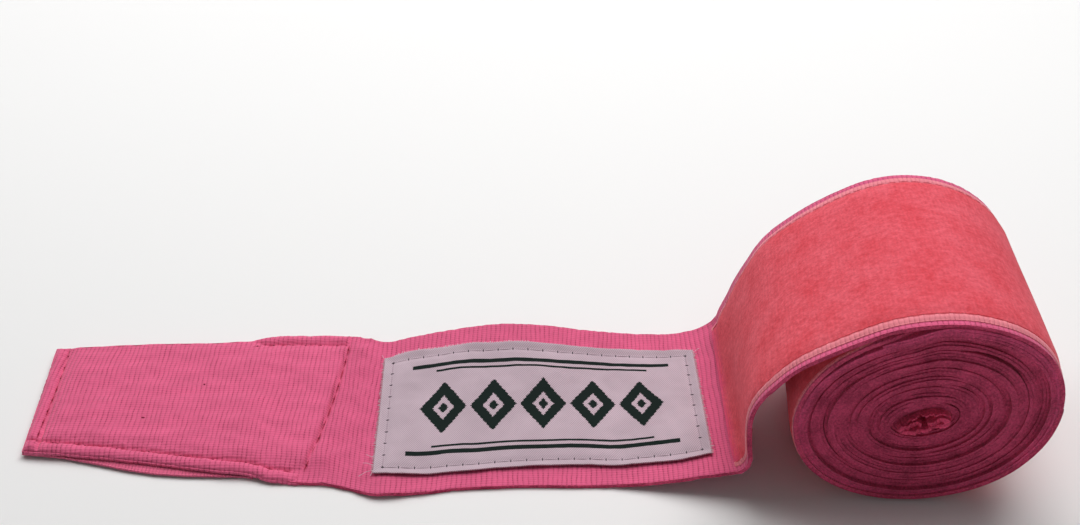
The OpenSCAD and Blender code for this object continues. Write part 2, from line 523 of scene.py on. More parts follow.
def draw_spindle(bm: bmesh.types.BMesh) -> None:
    """Draws a unit ball whose poles lie along X."""
    flip = Matrix.Rotation(math.radians(90.0), 4, "Y")
    bmesh.ops.create_uvsphere(bm, u_segments=6, v_segments=5, radius=1.0, matrix=flip)


SPINDLE = Stamp("spindle", draw_spindle)


def add_stitch(bm: bmesh.types.BMesh, a: Vector, b: Vector, r: float, n: Vector) -> None:
    """Adds one spindle-shaped stitch from a to b.

    Args:
        bm: the mesh to add to.
        a: the stitch's first end.
        b: the stitch's second end.
        r: the thread's radius.
        n: the cloth's normal there.
    """
    length = max((b - a).length, 1e-6)
    x = (b - a) / length
    y = n.cross(x).normalized()
    turn = Matrix((x, y, x.cross(y))).transposed().to_4x4()
    turn.translation = (a + b) / 2.0
    SPINDLE.press(bm, turn @ Matrix.Diagonal((length / 2.0, r, r, 1.0)))


def stitch_row(
    bm: bmesh.types.BMesh,
    walk: Callable[[float], tuple[Vector, Vector]],
    length: float,
    kind: Thread,
    skip: Callable[[int], bool] = lambda i: False,
) -> None:
    """Adds a row of stitches along a walk.

    Args:
        bm: the mesh to add to.
        walk: gives the point and normal at a distance along the row.
        length: the row's length.
        kind: the stitch's sizes.
        skip: says which stitches by number are left out.
    """
    pitch = kind.stitch + kind.gap
    count = max(1, int(length / pitch))
    for i in range(count):
        if skip(i):
            continue
        a, na = walk(length * (i + 0.5) / count - kind.stitch / 2.0)
        b, nb = walk(length * (i + 0.5) / count + kind.stitch / 2.0)
        n = (na + nb).normalized()
        lift = n * kind.radius * (1.0 - 2.0 * kind.bury)
        add_stitch(bm, a + lift, b + lift, kind.radius, n)


# ---------------------------------------------------------------------------- finishes


class Graph:
    """Short ways to add nodes to a node tree."""

    def __init__(self, tree: bpy.types.NodeTree) -> None:
        """Keeps the tree to add to."""
        self.tree = tree

    def add(self, kind: str, **settings: object) -> bpy.types.Node:
        """Adds a node and sets its own properties."""
        node = self.tree.nodes.new(kind)
        for key, value in settings.items():
            setattr(node, key, value)
        return node

    def link(self, source: bpy.types.NodeSocket, target: bpy.types.NodeSocket) -> None:
        """Joins two sockets."""
        self.tree.links.new(source, target)

    def put(self, socket: bpy.types.NodeSocket, value: object) -> None:
        """Links a socket or sets its value."""
        if isinstance(value, bpy.types.NodeSocket):
            self.link(value, socket)
        else:
            socket.default_value = value

    def math(self, how: str, *values: object, clamp: bool = False) -> bpy.types.NodeSocket:
        """A Math node's result."""
        node = self.add("ShaderNodeMath", operation=how, use_clamp=clamp)
        for socket, value in zip(node.inputs, values):
            self.put(socket, value)
        return node.outputs[0]

    def noise(
        self, vector: object, scale: float, detail: float = 2.0, rough: float = 0.5
    ) -> bpy.types.NodeSocket:
        """A Noise Texture's value."""
        node = self.add("ShaderNodeTexNoise")
        self.put(node.inputs["Vector"], vector)
        node.inputs["Scale"].default_value = scale
        node.inputs["Detail"].default_value = detail
        node.inputs["Roughness"].default_value = rough
        return node.outputs["Fac"]

    def spread(
        self, value: object, low: float, high: float, to_low: float, to_high: float
    ) -> bpy.types.NodeSocket:
        """A value mapped from one range to another, held at both ends."""
        node = self.add("ShaderNodeMapRange")
        self.put(node.inputs["Value"], value)
        node.inputs["From Min"].default_value = low
        node.inputs["From Max"].default_value = high
        node.inputs["To Min"].default_value = to_low
        node.inputs["To Max"].default_value = to_high
        return node.outputs["Result"]

    def blend(
        self, share: object, a: object, b: object, how: str = "MIX"
    ) -> bpy.types.NodeSocket:
        """Two colours mixed."""
        node = self.add("ShaderNodeMix", data_type="RGBA", blend_type=how)
        self.put(node.inputs[0], share)
        self.put(node.inputs[6], a)
        self.put(node.inputs[7], b)
        return node.outputs[2]

    def scaled(self, vector: object, x: float, y: float, z: float = 1.0) -> bpy.types.NodeSocket:
        """A vector stretched along its axes."""
        node = self.add("ShaderNodeVectorMath", operation="MULTIPLY")
        self.put(node.inputs[0], vector)
        node.inputs[1].default_value = (x, y, z)
        return node.outputs[0]


def new_group(
    name: str, numbers: dict[str, float], outputs: Sequence[str]
) -> tuple[bpy.types.NodeTree, Graph, bpy.types.Node, bpy.types.Node]:
    """Starts a shader node group with number inputs and number outputs.

    Args:
        name: the group's name.
        numbers: input names and their usual values.
        outputs: output names.

    Returns:
        The tree, a graph on it, its input node and its output node.
    """
    tree = bpy.data.node_groups.new(name, "ShaderNodeTree")
    for key, value in numbers.items():
        made = tree.interface.new_socket(key, in_out="INPUT", socket_type="NodeSocketFloat")
        made.default_value = value
    for key in outputs:
        tree.interface.new_socket(key, in_out="OUTPUT", socket_type="NodeSocketFloat")
    g = Graph(tree)
    return tree, g, g.add("NodeGroupInput"), g.add("NodeGroupOutput")


def rib_group() -> bpy.types.NodeTree:
    """Ribs across the band, crossed by finer cords along it, with painted shade for the grooves
    between them.
    """
    tree, g, given, out = new_group(
        "ribbed_elastic",
        {"Rib Pitch": 1.1 * MM, "Cord Pitch": 0.66 * MM, "Drift": 0.9 * MM},
        ("Height", "Groove", "Tone"),
    )
    uv = g.add("ShaderNodeUVMap", uv_map=UV_NAME).outputs[0]
    parts = g.add("ShaderNodeSeparateXYZ")
    g.link(uv, parts.inputs[0])
    drift = g.math("SUBTRACT", g.noise(g.scaled(uv, 1.0, 0.8), 55.0, 2.0), 0.5)
    u = g.math("ADD", parts.outputs[0], g.math("MULTIPLY", drift, given.outputs["Drift"]))
    fine = g.math("SUBTRACT", g.noise(uv, 420.0, 1.0), 0.5)
    u = g.math("ADD", u, g.math("MULTIPLY", fine, 0.35 * MM))
    v = g.math("ADD", parts.outputs[1], g.math("MULTIPLY", fine, 0.3 * MM))

    def wave(place: object, pitch: object) -> bpy.types.NodeSocket:
        """A cosine wave from 0 to 1."""
        turns = g.math("MULTIPLY", g.math("DIVIDE", place, pitch), TURN)
        return g.math("MULTIPLY_ADD", g.math("COSINE", turns), 0.5, 0.5)

    rib = wave(u, given.outputs["Rib Pitch"])
    cord = wave(v, given.outputs["Cord Pitch"])
    height = g.math("MULTIPLY_ADD", cord, 0.3, g.math("POWER", rib, 0.4))
    fibre = g.noise(g.scaled(uv, 1.0, 2.2), 2600.0, 3.0, 0.6)
    height = g.math("MULTIPLY_ADD", fibre, 0.3, height)
    # Groove is painted shade: darkest in the gaps between ribs, deeper where cords cross, with fine
    # dark lines between cords, and patchy by noise.
    gap = g.math("POWER", g.math("SUBTRACT", 1.0, rib), 6.0)
    between = g.math("SUBTRACT", 1.0, cord)
    dots = g.math("MULTIPLY_ADD", g.math("POWER", between, 1.6), 0.72, 0.28)
    uneven_groove_shade = g.spread(g.noise(uv, 330.0, 3.0), 0.32, 0.66, 0.25, 1.25)
    groove = g.math("MULTIPLY", g.math("MULTIPLY", gap, dots), uneven_groove_shade)
    line = g.math("MULTIPLY", g.math("POWER", between, 7.0), 0.27)
    groove = g.math("MAXIMUM", groove, line, clamp=True)
    patch = g.noise(g.scaled(uv, 1.0, 1.6), 130.0, 3.0, 0.6)
    tone = g.math("MULTIPLY_ADD", fibre, 0.45, g.math("MULTIPLY", patch, 0.55))
    g.link(height, out.inputs["Height"])
    g.link(groove, out.inputs["Groove"])
    g.link(tone, out.inputs["Tone"])
    return tree


def pile_group() -> bpy.types.NodeTree:
    """Brushed loop pile: fine tufts with soft mottling and faint rows."""
    tree, g, given, out = new_group(
        "brushed_pile", {"Tuft Scale": 1900.0}, ("Height", "Mottle")
    )
    uv = g.add("ShaderNodeUVMap", uv_map=UV_NAME).outputs[0]
    tuft = g.add("ShaderNodeTexNoise")
    g.link(uv, tuft.inputs["Vector"])
    g.link(given.outputs["Tuft Scale"], tuft.inputs["Scale"])
    tuft.inputs["Detail"].default_value = 4.0
    tuft.inputs["Roughness"].default_value = 0.65
    medium = g.noise(g.scaled(uv, 1.0, 1.2), 700.0, 3.0, 0.6)
    broad = g.noise(uv, 120.0, 4.0, 0.6)
    parts = g.add("ShaderNodeSeparateXYZ")
    g.link(uv, parts.inputs[0])
    turns = g.math("MULTIPLY", parts.outputs[0], TURN / (0.9 * MM))
    rows = g.math("MULTIPLY_ADD", g.math("SINE", turns), 0.5, 0.5)
    height = g.math("MULTIPLY_ADD", medium, 0.6, tuft.outputs["Fac"])
    height = g.math("MULTIPLY_ADD", rows, 0.08, height)
    mottle = g.math("MULTIPLY_ADD", broad, 0.6, g.math("MULTIPLY", medium, 0.4))
    g.link(height, out.inputs["Height"])
    g.link(mottle, out.inputs["Mottle"])
    return tree


def twill_group() -> bpy.types.NodeTree:
    """The label's satin ground: fine slanting lines of thread."""
    tree, g, given, out = new_group("satin_twill", {"Pitch": 0.52 * MM}, ("Height", "Tone"))
    uv = g.add("ShaderNodeUVMap", uv_map=UV_NAME).outputs[0]
    parts = g.add("ShaderNodeSeparateXYZ")
    g.link(uv, parts.inputs[0])
    slant = g.math("MULTIPLY_ADD", parts.outputs[1], -0.8, parts.outputs[0])
    turns = g.math("MULTIPLY", g.math("DIVIDE", slant, given.outputs["Pitch"]), TURN)
    line = g.math("MULTIPLY_ADD", g.math("SINE", turns), 0.5, 0.5)
    pick = g.math("MULTIPLY", parts.outputs[1], TURN / (0.3 * MM))
    pick = g.math("MULTIPLY_ADD", g.math("SINE", pick), 0.5, 0.5)
    fibre = g.noise(uv, 3200.0, 2.0)
    height = g.math("MULTIPLY_ADD", pick, 0.35, g.math("MULTIPLY", line, 0.5))
    height = g.math("MULTIPLY_ADD", fibre, 0.3, height)
    broad = g.noise(uv, 90.0, 2.0)
    tone = g.math("MULTIPLY_ADD", line, 0.55, g.math("MULTIPLY", broad, 0.45))
    g.link(height, out.inputs["Height"])
    g.link(tone, out.inputs["Tone"])
    return tree


def lozenge_group() -> bpy.types.NodeTree:
    """The label's woven pattern: a row of lozenges between plain borders.

    Its edges step by one thread, as a woven figure's do.
    """
    tree, g, given, out = new_group(
        "woven_lozenges",
        {"Length": 75 * MM, "Width": 38 * MM, "Step": 0.3 * MM},
        ("Figure",),
    )
    uv = g.add("ShaderNodeUVMap", uv_map=UV_NAME).outputs[0]
    parts = g.add("ShaderNodeSeparateXYZ")
    g.link(uv, parts.inputs[0])
    step = given.outputs["Step"]
    u = g.math("SNAP", parts.outputs[0], step)
    v = g.math("SNAP", parts.outputs[1], step)
    x = g.math("ABSOLUTE", u)
    y = g.math("ABSOLUTE", v)
    half_l = g.math("MULTIPLY", given.outputs["Length"], 0.5)
    half_w = g.math("MULTIPLY", given.outputs["Width"], 0.5)

    def inside(value: object, limit: object) -> bpy.types.NodeSocket:
        """1 where value is under limit."""
        return g.math("LESS_THAN", value, limit)

    def over(value: object, limit: object) -> bpy.types.NodeSocket:
        """1 where value is over limit."""
        return g.math("GREATER_THAN", value, limit)

    def both(a: object, b: object) -> bpy.types.NodeSocket:
        """1 where both are 1."""
        return g.math("MULTIPLY", a, b)

    pitch = 11.6 * MM
    cell = g.math("SUBTRACT", g.math("FRACT", g.math("ADD", g.math("DIVIDE", u, pitch), 0.5)), 0.5)
    dx = g.math("MULTIPLY", g.math("ABSOLUTE", cell), 2.0)
    dy = g.math("DIVIDE", y, 8.2 * MM)
    far = g.math("ADD", dx, dy)
    in_row = inside(x, 29.0 * MM)
    body = both(inside(far, 0.93), in_row)
    heart = both(inside(far, 0.42), over(far, 0.2))
    figure = g.math("SUBTRACT", body, both(heart, in_row), clamp=True)
    edge_y = g.math("SUBTRACT", half_w, y)
    edge_x = g.math("SUBTRACT", half_l, x)
    near_edge = g.math("MINIMUM", edge_y, edge_x)
    in_x = over(edge_x, 6.4 * MM)
    thick = both(both(over(edge_y, 5.4 * MM), inside(edge_y, 6.5 * MM)), in_x)
    thin = both(both(over(edge_y, 7.5 * MM), inside(edge_y, 8.1 * MM)), over(edge_x, 12 * MM))
    bars = g.math("MAXIMUM", thick, thin)
    figure = g.math("MAXIMUM", figure, bars)
    figure = both(figure, over(near_edge, 3.2 * MM))
    g.link(figure, out.inputs["Figure"])
    return tree


Colour = tuple[float, float, float]


def rgba(c: Colour, gain: float = 1.0) -> tuple[float, float, float, float]:
    """A colour with full alpha, made lighter or darker."""
    return (min(1.0, c[0] * gain), min(1.0, c[1] * gain), min(1.0, c[2] * gain), 1.0)


@dataclass(frozen=True)
class Finish:
    """A cloth finish with constant values for the shader's own sockets."""

    name: str
    colour: Colour
    roughness: float = 0.85
    sheen: float = 0.25
    sheen_tint: Colour = (1.0, 0.75, 0.82)
    specular: float = 0.25

    def start(self) -> tuple[bpy.types.Material, Graph, bpy.types.Node]:
        """Makes the material with its shader.

        Returns:
            The material, a graph on its tree and its Principled node.
        """
        mat = bpy.data.materials.new(self.name)
        mat.use_nodes = True
        g = Graph(mat.node_tree)
        shader = next(n for n in mat.node_tree.nodes if n.type == "BSDF_PRINCIPLED")
        shader.inputs["Base Color"].default_value = rgba(self.colour)
        shader.inputs["Roughness"].default_value = self.roughness
        shader.inputs["Sheen Weight"].default_value = self.sheen
        shader.inputs["Sheen Roughness"].default_value = 0.5
        shader.inputs["Sheen Tint"].default_value = rgba(self.sheen_tint)
        shader.inputs["Specular IOR Level"].default_value = self.specular
        return mat, g, shader

    @staticmethod
    def bump(
        g: Graph, shader: bpy.types.Node, height: object, size: float, strength: float
    ) -> None:
        """Feeds a height to the shader's normal through a Bump node."""
        node = g.add("ShaderNodeBump")
        node.inputs["Strength"].default_value = strength
        node.inputs["Distance"].default_value = size
        g.link(height, node.inputs["Height"])
        g.link(node.outputs[0], shader.inputs["Normal"])

    def build(self) -> bpy.types.Material:
        """A plain material of this finish."""
        return self.start()[0]


@dataclass(frozen=True)
class RibFinish(Finish):
    """Ribbed elastic cloth."""

    rib: float = 1.1 * MM
    cord: float = 0.66 * MM
    drift: float = 2.2 * MM
    depth: float = 0.17 * MM
    contrast: float = 0.8

    def build(self) -> bpy.types.Material:
        """The material, with ribs in its surface and painted shade darkening the grooves between
        them.
        """
        mat, g, shader = self.start()
        ribs = g.add("ShaderNodeGroup", node_tree=bpy.data.node_groups["ribbed_elastic"])
        ribs.inputs["Rib Pitch"].default_value = self.rib
        ribs.inputs["Cord Pitch"].default_value = self.cord
        ribs.inputs["Drift"].default_value = self.drift
        tone = g.spread(ribs.outputs["Tone"], 0.3, 0.7, 0.0, 1.0)
        ground = g.blend(tone, rgba(self.colour, 0.86), rgba(self.colour, 1.12))
        # Painted shade: the grooves are blended toward a dark, saturated copy of the colour, as
        # strongly as the contrast says.
        groove_shade_colour = (self.colour[0] * 0.36, self.colour[1] * 0.08, self.colour[2] * 0.2)
        share = g.math("MULTIPLY", ribs.outputs["Groove"], self.contrast)
        g.link(g.blend(share, ground, rgba(groove_shade_colour)), shader.inputs["Base Color"])
        self.bump(g, shader, ribs.outputs["Height"], self.depth, 0.9)
        return mat


@dataclass(frozen=True)
class PileFinish(Finish):
    """Brushed loop pile."""

    tuft: float = 1900.0
    light: Colour = (0.82, 0.13, 0.17)
    thin: Colour = (0.74, 0.085, 0.19)
    thin_length: float = 3.4 * MM

    def build(self) -> bpy.types.Material:
        """The material, mottled and tufted."""
        mat, g, shader = self.start()
        pile = g.add("ShaderNodeGroup", node_tree=bpy.data.node_groups["brushed_pile"])
        pile.inputs["Tuft Scale"].default_value = self.tuft
        share = g.spread(pile.outputs["Mottle"], 0.36, 0.64, 0.0, 1.0)
        soft = g.blend(share, rgba(self.colour, 0.93), rgba(self.light))
        parts = g.add("ShaderNodeSeparateXYZ")
        g.link(g.add("ShaderNodeUVMap", uv_map=UV_NAME).outputs[0], parts.inputs[0])
        ragged = g.math("MULTIPLY_ADD", pile.outputs["Mottle"], 5 * MM, parts.outputs[0])
        full = g.spread(ragged, 2.2 * MM, 2.2 * MM + self.thin_length, 0.0, 1.0)
        soft = g.blend(full, rgba(self.thin), soft)
        speck = g.spread(pile.outputs["Height"], 0.55, 1.15, 0.8, 1.14)
        node = g.add("ShaderNodeHueSaturation")
        g.link(soft, node.inputs["Color"])
        g.link(speck, node.inputs["Value"])
        g.link(node.outputs[0], shader.inputs["Base Color"])
        self.bump(g, shader, pile.outputs["Height"], 0.16 * MM, 0.7)
        return mat


@dataclass(frozen=True)
class EdgeFinish(Finish):
    """The fuzzy cut edges that show at the end of the roll, with painted light on the outer turns
    when asked.
    """

    grain: float = 1900.0
    # Painted light: a brighter magenta that the outer turns of the roll are blended toward,
    # standing in for light on the roll's rim.
    painted_light_colour: Colour = (0.7, 0.075, 0.2)
    painted_light_length: float = 0.0

    def build(self) -> bpy.types.Material:
        """The material, with grain and patches in three dimensions."""
        mat, g, shader = self.start()
        place = g.add("ShaderNodeTexCoord").outputs["Object"]
        fine = g.noise(place, self.grain, 4.0, 0.7)
        patch = g.noise(place, 170.0, 3.0, 0.6)
        tone = g.math("MULTIPLY_ADD", fine, 0.6, g.math("MULTIPLY", patch, 0.4))
        share = g.spread(tone, 0.40, 0.60, 0.0, 1.0)
        dark = (self.colour[0] * 0.66, self.colour[1] * 0.45, self.colour[2] * 0.55)
        cloth = g.blend(share, rgba(dark), rgba(self.colour, 1.3))
        # Painted light: over the given length of cloth from the outside, the colour is blended
        # toward the brighter magenta, so the outer turns look lit.
        if self.painted_light_length:
            parts = g.add("ShaderNodeSeparateXYZ")
            g.link(g.add("ShaderNodeUVMap", uv_map=UV_NAME).outputs[0], parts.inputs[0])
            new = g.spread(parts.outputs[0], 0.2 * self.painted_light_length, self.painted_light_length, 0.8, 0.0)
            painted_light_cloth = g.blend(share, rgba(self.painted_light_colour, 0.7), rgba(self.painted_light_colour, 1.3))
            cloth = g.blend(new, cloth, painted_light_cloth)
        g.link(cloth, shader.inputs["Base Color"])
        self.bump(g, shader, fine, 0.35 * MM, 0.9)
        return mat


@dataclass(frozen=True)
class LabelFinish(Finish):
    """Satin-woven label with a plain woven figure."""

    figure: Colour = (0.001, 0.008, 0.006)
    length: float = 75 * MM
    width: float = 38 * MM

    def build(self) -> bpy.types.Material:
        """The material, with its ground, figure and thread relief."""
        mat, g, shader = self.start()
        twill = g.add("ShaderNodeGroup", node_tree=bpy.data.node_groups["satin_twill"])
        figure = g.add("ShaderNodeGroup", node_tree=bpy.data.node_groups["woven_lozenges"])
        figure.inputs["Length"].default_value = self.length
        figure.inputs["Width"].default_value = self.width
        tone = g.spread(twill.outputs["Tone"], 0.2, 0.8, 0.0, 1.0)
        ground = g.blend(tone, rgba(self.colour, 0.68), rgba(self.colour, 1.16))
        inked = g.blend(tone, rgba(self.figure, 0.7), rgba(self.figure, 1.6))
        g.link(g.blend(figure.outputs["Figure"], ground, inked), shader.inputs["Base Color"])
        self.bump(g, shader, twill.outputs["Height"], 0.06 * MM, 0.55)
        return mat


class Finishes:
    """Every material of the wrap, built once."""

    def __init__(self) -> None:
        """Builds the node groups, then the materials."""
        rib_group()
        pile_group()
        twill_group()
        lozenge_group()
        pink = (0.76, 0.115, 0.25)
        self.band = RibFinish("band_elastic", pink).build()
        # The roll's end face uses a darker copy of the band's pink, painted shade for a face turned
        # from the light; its grain is the cloth's own, and its outer turns are lightened as painted
        # light.
        self.band_end = EdgeFinish(
            "band_roll_edge", (0.55, 0.054, 0.14), 0.95, 0.15, painted_light_length=0.5
        ).build()
        self.tab = RibFinish("tab_elastic", (0.8, 0.125, 0.265)).build()
        self.under = RibFinish(
            "tab_lining", (0.8, 0.14, 0.27), rib=0.8 * MM, cord=0.7 * MM, contrast=0.5
        ).build()
        self.core = EdgeFinish("crumpled_core", (0.78, 0.07, 0.175), 0.95, 0.15).build()
        # The band's cut rim is a darker copy of its pink: painted shade on the rim's sides.
        self.band_rim = EdgeFinish("band_cut_edge", (0.66, 0.07, 0.17), 0.95, 0.15).build()
        # Dark spindles at the needle holes paint the shade inside the holes; the label's are nearly
        # black.
        self.holes = Finish("needle_hole_shade", (0.22, 0.012, 0.04), 0.95, 0.0).build()
        self.label_hole_shade = Finish("label_needle_hole_shade", (0.06, 0.045, 0.055), 0.95, 0.0).build()
        self.pile = PileFinish(
            "loop_pile", (0.78, 0.075, 0.1), 0.95, 0.14, (1.0, 0.45, 0.5), 0.1
        ).build()
        self.selvedge = RibFinish(
            "loop_selvedge", (0.86, 0.24, 0.29), rib=0.95 * MM, cord=1.4 * MM,
            drift=0.2 * MM, contrast=0.42, depth=0.12 * MM,
        ).build()
        self.label = LabelFinish(
            "woven_label", (0.55, 0.425, 0.485), 0.7, 0.04, specular=0.12
        ).build()
        self.thread = Finish("seam_thread", (0.42, 0.015, 0.06), 0.6, 0.1).build()
        self.tape_thread = Finish("tape_thread", (0.74, 0.09, 0.13), 0.7, 0.1).build()
        self.label_thread = Finish("label_thread", (0.4, 0.3, 0.35), 0.6, 0.1).build()
        self.label_yarn = Finish("label_yarn", (0.68, 0.53, 0.58), 0.8, 0.1).build()
        self.hooks = Finish("hook_nylon", (0.62, 0.09, 0.2), 0.4, 0.0).build()


# ------------------------------------------------------------------------ sub-assemblies


@dataclass
class Piece:
    """What a finished piece needs to take its place."""

    obj: bpy.types.Object
    material: bpy.types.Material
    nodes: tuple[str, ...]
    slot: str

    def settle(self, body: Body) -> bpy.types.Object:
        """Dresses the piece and lets it ride on one body."""
        self.dress()
        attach(self.obj, body.value)
        return self.obj

    def bend(self, a: Body, b: Body, start: Vector, end: Vector) -> bpy.types.Object:
        """Dresses the piece and bakes its placement; the bend between the two bodies is not made.
        """
        self.dress()
        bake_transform(self.obj, a.value, b.value, start=tuple(start), end=tuple(end))
        return self.obj

    def dress(self) -> None:
        """Gives the piece its material and hides the nodes that it stands for."""
        self.obj.data.materials.append(self.material)
        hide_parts(*self.nodes)
        LOG.info("%s: %d faces", self.obj.name, len(self.obj.data.polygons))


@dataclass
class BandCloth:
    """The band's outer course, with everything sewn on it."""

    band: Band
    finishes: Finishes
    bend_from: Vector = field(default_factory=lambda: Vector((36 * MM, 0, 2 * MM)))
    bend_to: Vector = field(default_factory=lambda: Vector((49 * MM, 0, 9 * MM)))
    pile_half: float = 21.5 * MM
    selvedge: float = 1.9 * MM

    def hinge(self, piece: Piece) -> bpy.types.Object:
        """Dresses a piece and bakes its placement; the bend at the foot of the arch is not made."""
        return piece.bend(Body.LABEL, Body.ROLL, self.bend_from, self.bend_to)

    def build(self) -> None:
        """Builds the band, the loop tape and their stitching."""
        self.cloth()
        self.loop_tape()

    def cloth(self) -> None:
        """The band itself, in one length."""
        band = self.band
        total = band.line.length

        def place(s: float, t: float, d: float) -> Vector:
            """A point of the band's upper or lower face."""
            m = s * total
            y = lerp(band.edge(m, Side.NEAR), band.edge(m, Side.FAR), t)
            lift = 0.12 * MM * (hump(t, 0.0, 0.03) + hump(t, 1.0, 0.03))
            return band.point(m, y, lift * (1 - 2 * d) - d * band.thick)

        def ruler(s: float, t: float) -> tuple[float, float]:
            """Flat lengths of the band."""
            return s * total, (t - 0.5) * band.width

        obj = cloth_slab("elastic_band", 340, even_rows(34, 0.35), place, ruler, 0.18 * MM, 1)
        nodes = ("band_label_section", "band_outer_turn")
        self.hinge(Piece(obj, self.finishes.band, nodes, "band_knit"))
        obj.data.materials.append(self.finishes.band_rim)

    def strip(
        self, name: str, start: float, y0: Callable[[float], float],
        y1: Callable[[float], float], high: float, rows: int, rim: float, taper: float,
    ) -> bpy.types.Object:
        """A strip sewn along the band from the length start to the band's end.

        Args:
            name: the piece's name.
            start: length at which it starts.
            y0: gives its near edge at a length.
            y1: gives its far edge at a length.
            high: height of its upper face above the band.
            rows: steps across it.
            rim: radius of its rounded rim.
            taper: share of its width over which each long edge thins out.

        Returns:
            The object.
        """
        band = self.band
        total = band.line.length

        def place(s: float, t: float, d: float) -> Vector:
            """A point of the strip's upper or lower face."""
            m = lerp(start, total - 0.6 * MM, s)
            full = 0.5 + 0.5 * smooth(0.0, taper, min(t, 1.0 - t))
            up = 0.02 * MM if d else high * full
            return band.point(m, lerp(y0(m), y1(m), t), up)

        def ruler(s: float, t: float) -> tuple[float, float]:
            """Flat lengths of the strip."""
            m = lerp(start, total, s)
            return m - start, lerp(y0(m), y1(m), t)

        return cloth_slab(name, 240, even_rows(rows, 0.3), place, ruler, rim)

    def loop_tape(self) -> None:
        """The loop pile, its selvedges and its stitching."""
        band, fin = self.band, self.finishes
        start = band.foot_s + 2.4 * MM
        half, edge = self.pile_half, self.selvedge

        def near(m: float) -> float:
            """The pile's near edge."""
            wide = 0.8 * (1.0 - smooth(12 * MM, 55 * MM, m - start))
            wide += 2.3 * smooth(-62 * MM, -50 * MM, m - band.line.length)
            wide -= 2.3 * smooth(-12 * MM, -1 * MM, m - band.line.length)
            return -half - wide * MM + 0.15 * MM * wobble(m * 120.0, 1.7)

        def far(m: float) -> float:
            """The pile's far edge."""
            return half + 0.18 * MM * wobble(m * 120.0, 6.3)

        pile = self.strip("loop_pile", start, near, far, 0.8 * MM, 28, 0.16 * MM, 0.045)
        for side, node in ((Side.NEAR, "loop_selvedge_near"), (Side.FAR, "loop_selvedge_far")):
            inner = near if side is Side.NEAR else far

            def outer(m: float, inner=inner, side=side) -> float:
                """The selvedge's outer edge."""
                wide = lerp(0.65, 1.0, smooth(12 * MM, 55 * MM, m - start))
                wide *= 1.0 - 0.7 * smooth(-62 * MM, -50 * MM, m - band.line.length)
                return inner(m) + side.value * edge * wide

            def under(m: float, inner=inner, side=side) -> float:
                """The selvedge's inner edge, tucked under the pile's rim."""
                return inner(m) - side.value * 0.3 * MM

            y0, y1 = (outer, under) if side is Side.NEAR else (under, outer)
            obj = self.strip(node + "_cloth", start, y0, y1, 0.42 * MM, 6, 0.09 * MM, 0.4)
            self.hinge(Piece(obj, fin.selvedge, (node,), "selvedge"))
        self.hinge(Piece(pile, fin.pile, ("loop_tape",), "loop_pile"))
        length = band.line.length - start
        rows = ((Side.NEAR, "loop_edge_stitch_near"), (Side.FAR, "loop_edge_stitch_far"))
        for side, node in rows:
            bm = bmesh.new()
            inner = near if side is Side.NEAR else far

            def walk(d: float, inner=inner, side=side) -> tuple[Vector, Vector]:
                """The stitch line beside the pile."""
                y = inner(start + d) + side.value * 0.3 * MM
                return band.point(start + d, y, 0.37 * MM), band.normal(start + d, y)

            stitch_row(bm, walk, length - 1 * MM, Thread(2.1 * MM, 0.5 * MM, 0.09 * MM, 0.5))
            obj = finish_mesh(bm, node + "_thread")
            self.hinge(Piece(obj, fin.tape_thread, (node,), "thread"))
        bm = bmesh.new()

        def across(d: float) -> tuple[Vector, Vector]:
            """The stitch line across the tape's start."""
            y = -half + d
            return band.point(start + 1.2 * MM, y, 0.86 * MM), band.normal(start, y)

        stitch_row(bm, across, 2 * half, Thread(2.2 * MM, 0.5 * MM, 0.10 * MM, 0.5))
        obj = finish_mesh(bm, "loop_start_thread")
        self.hinge(Piece(obj, fin.tape_thread, ("loop_start_stitch",), "thread"))


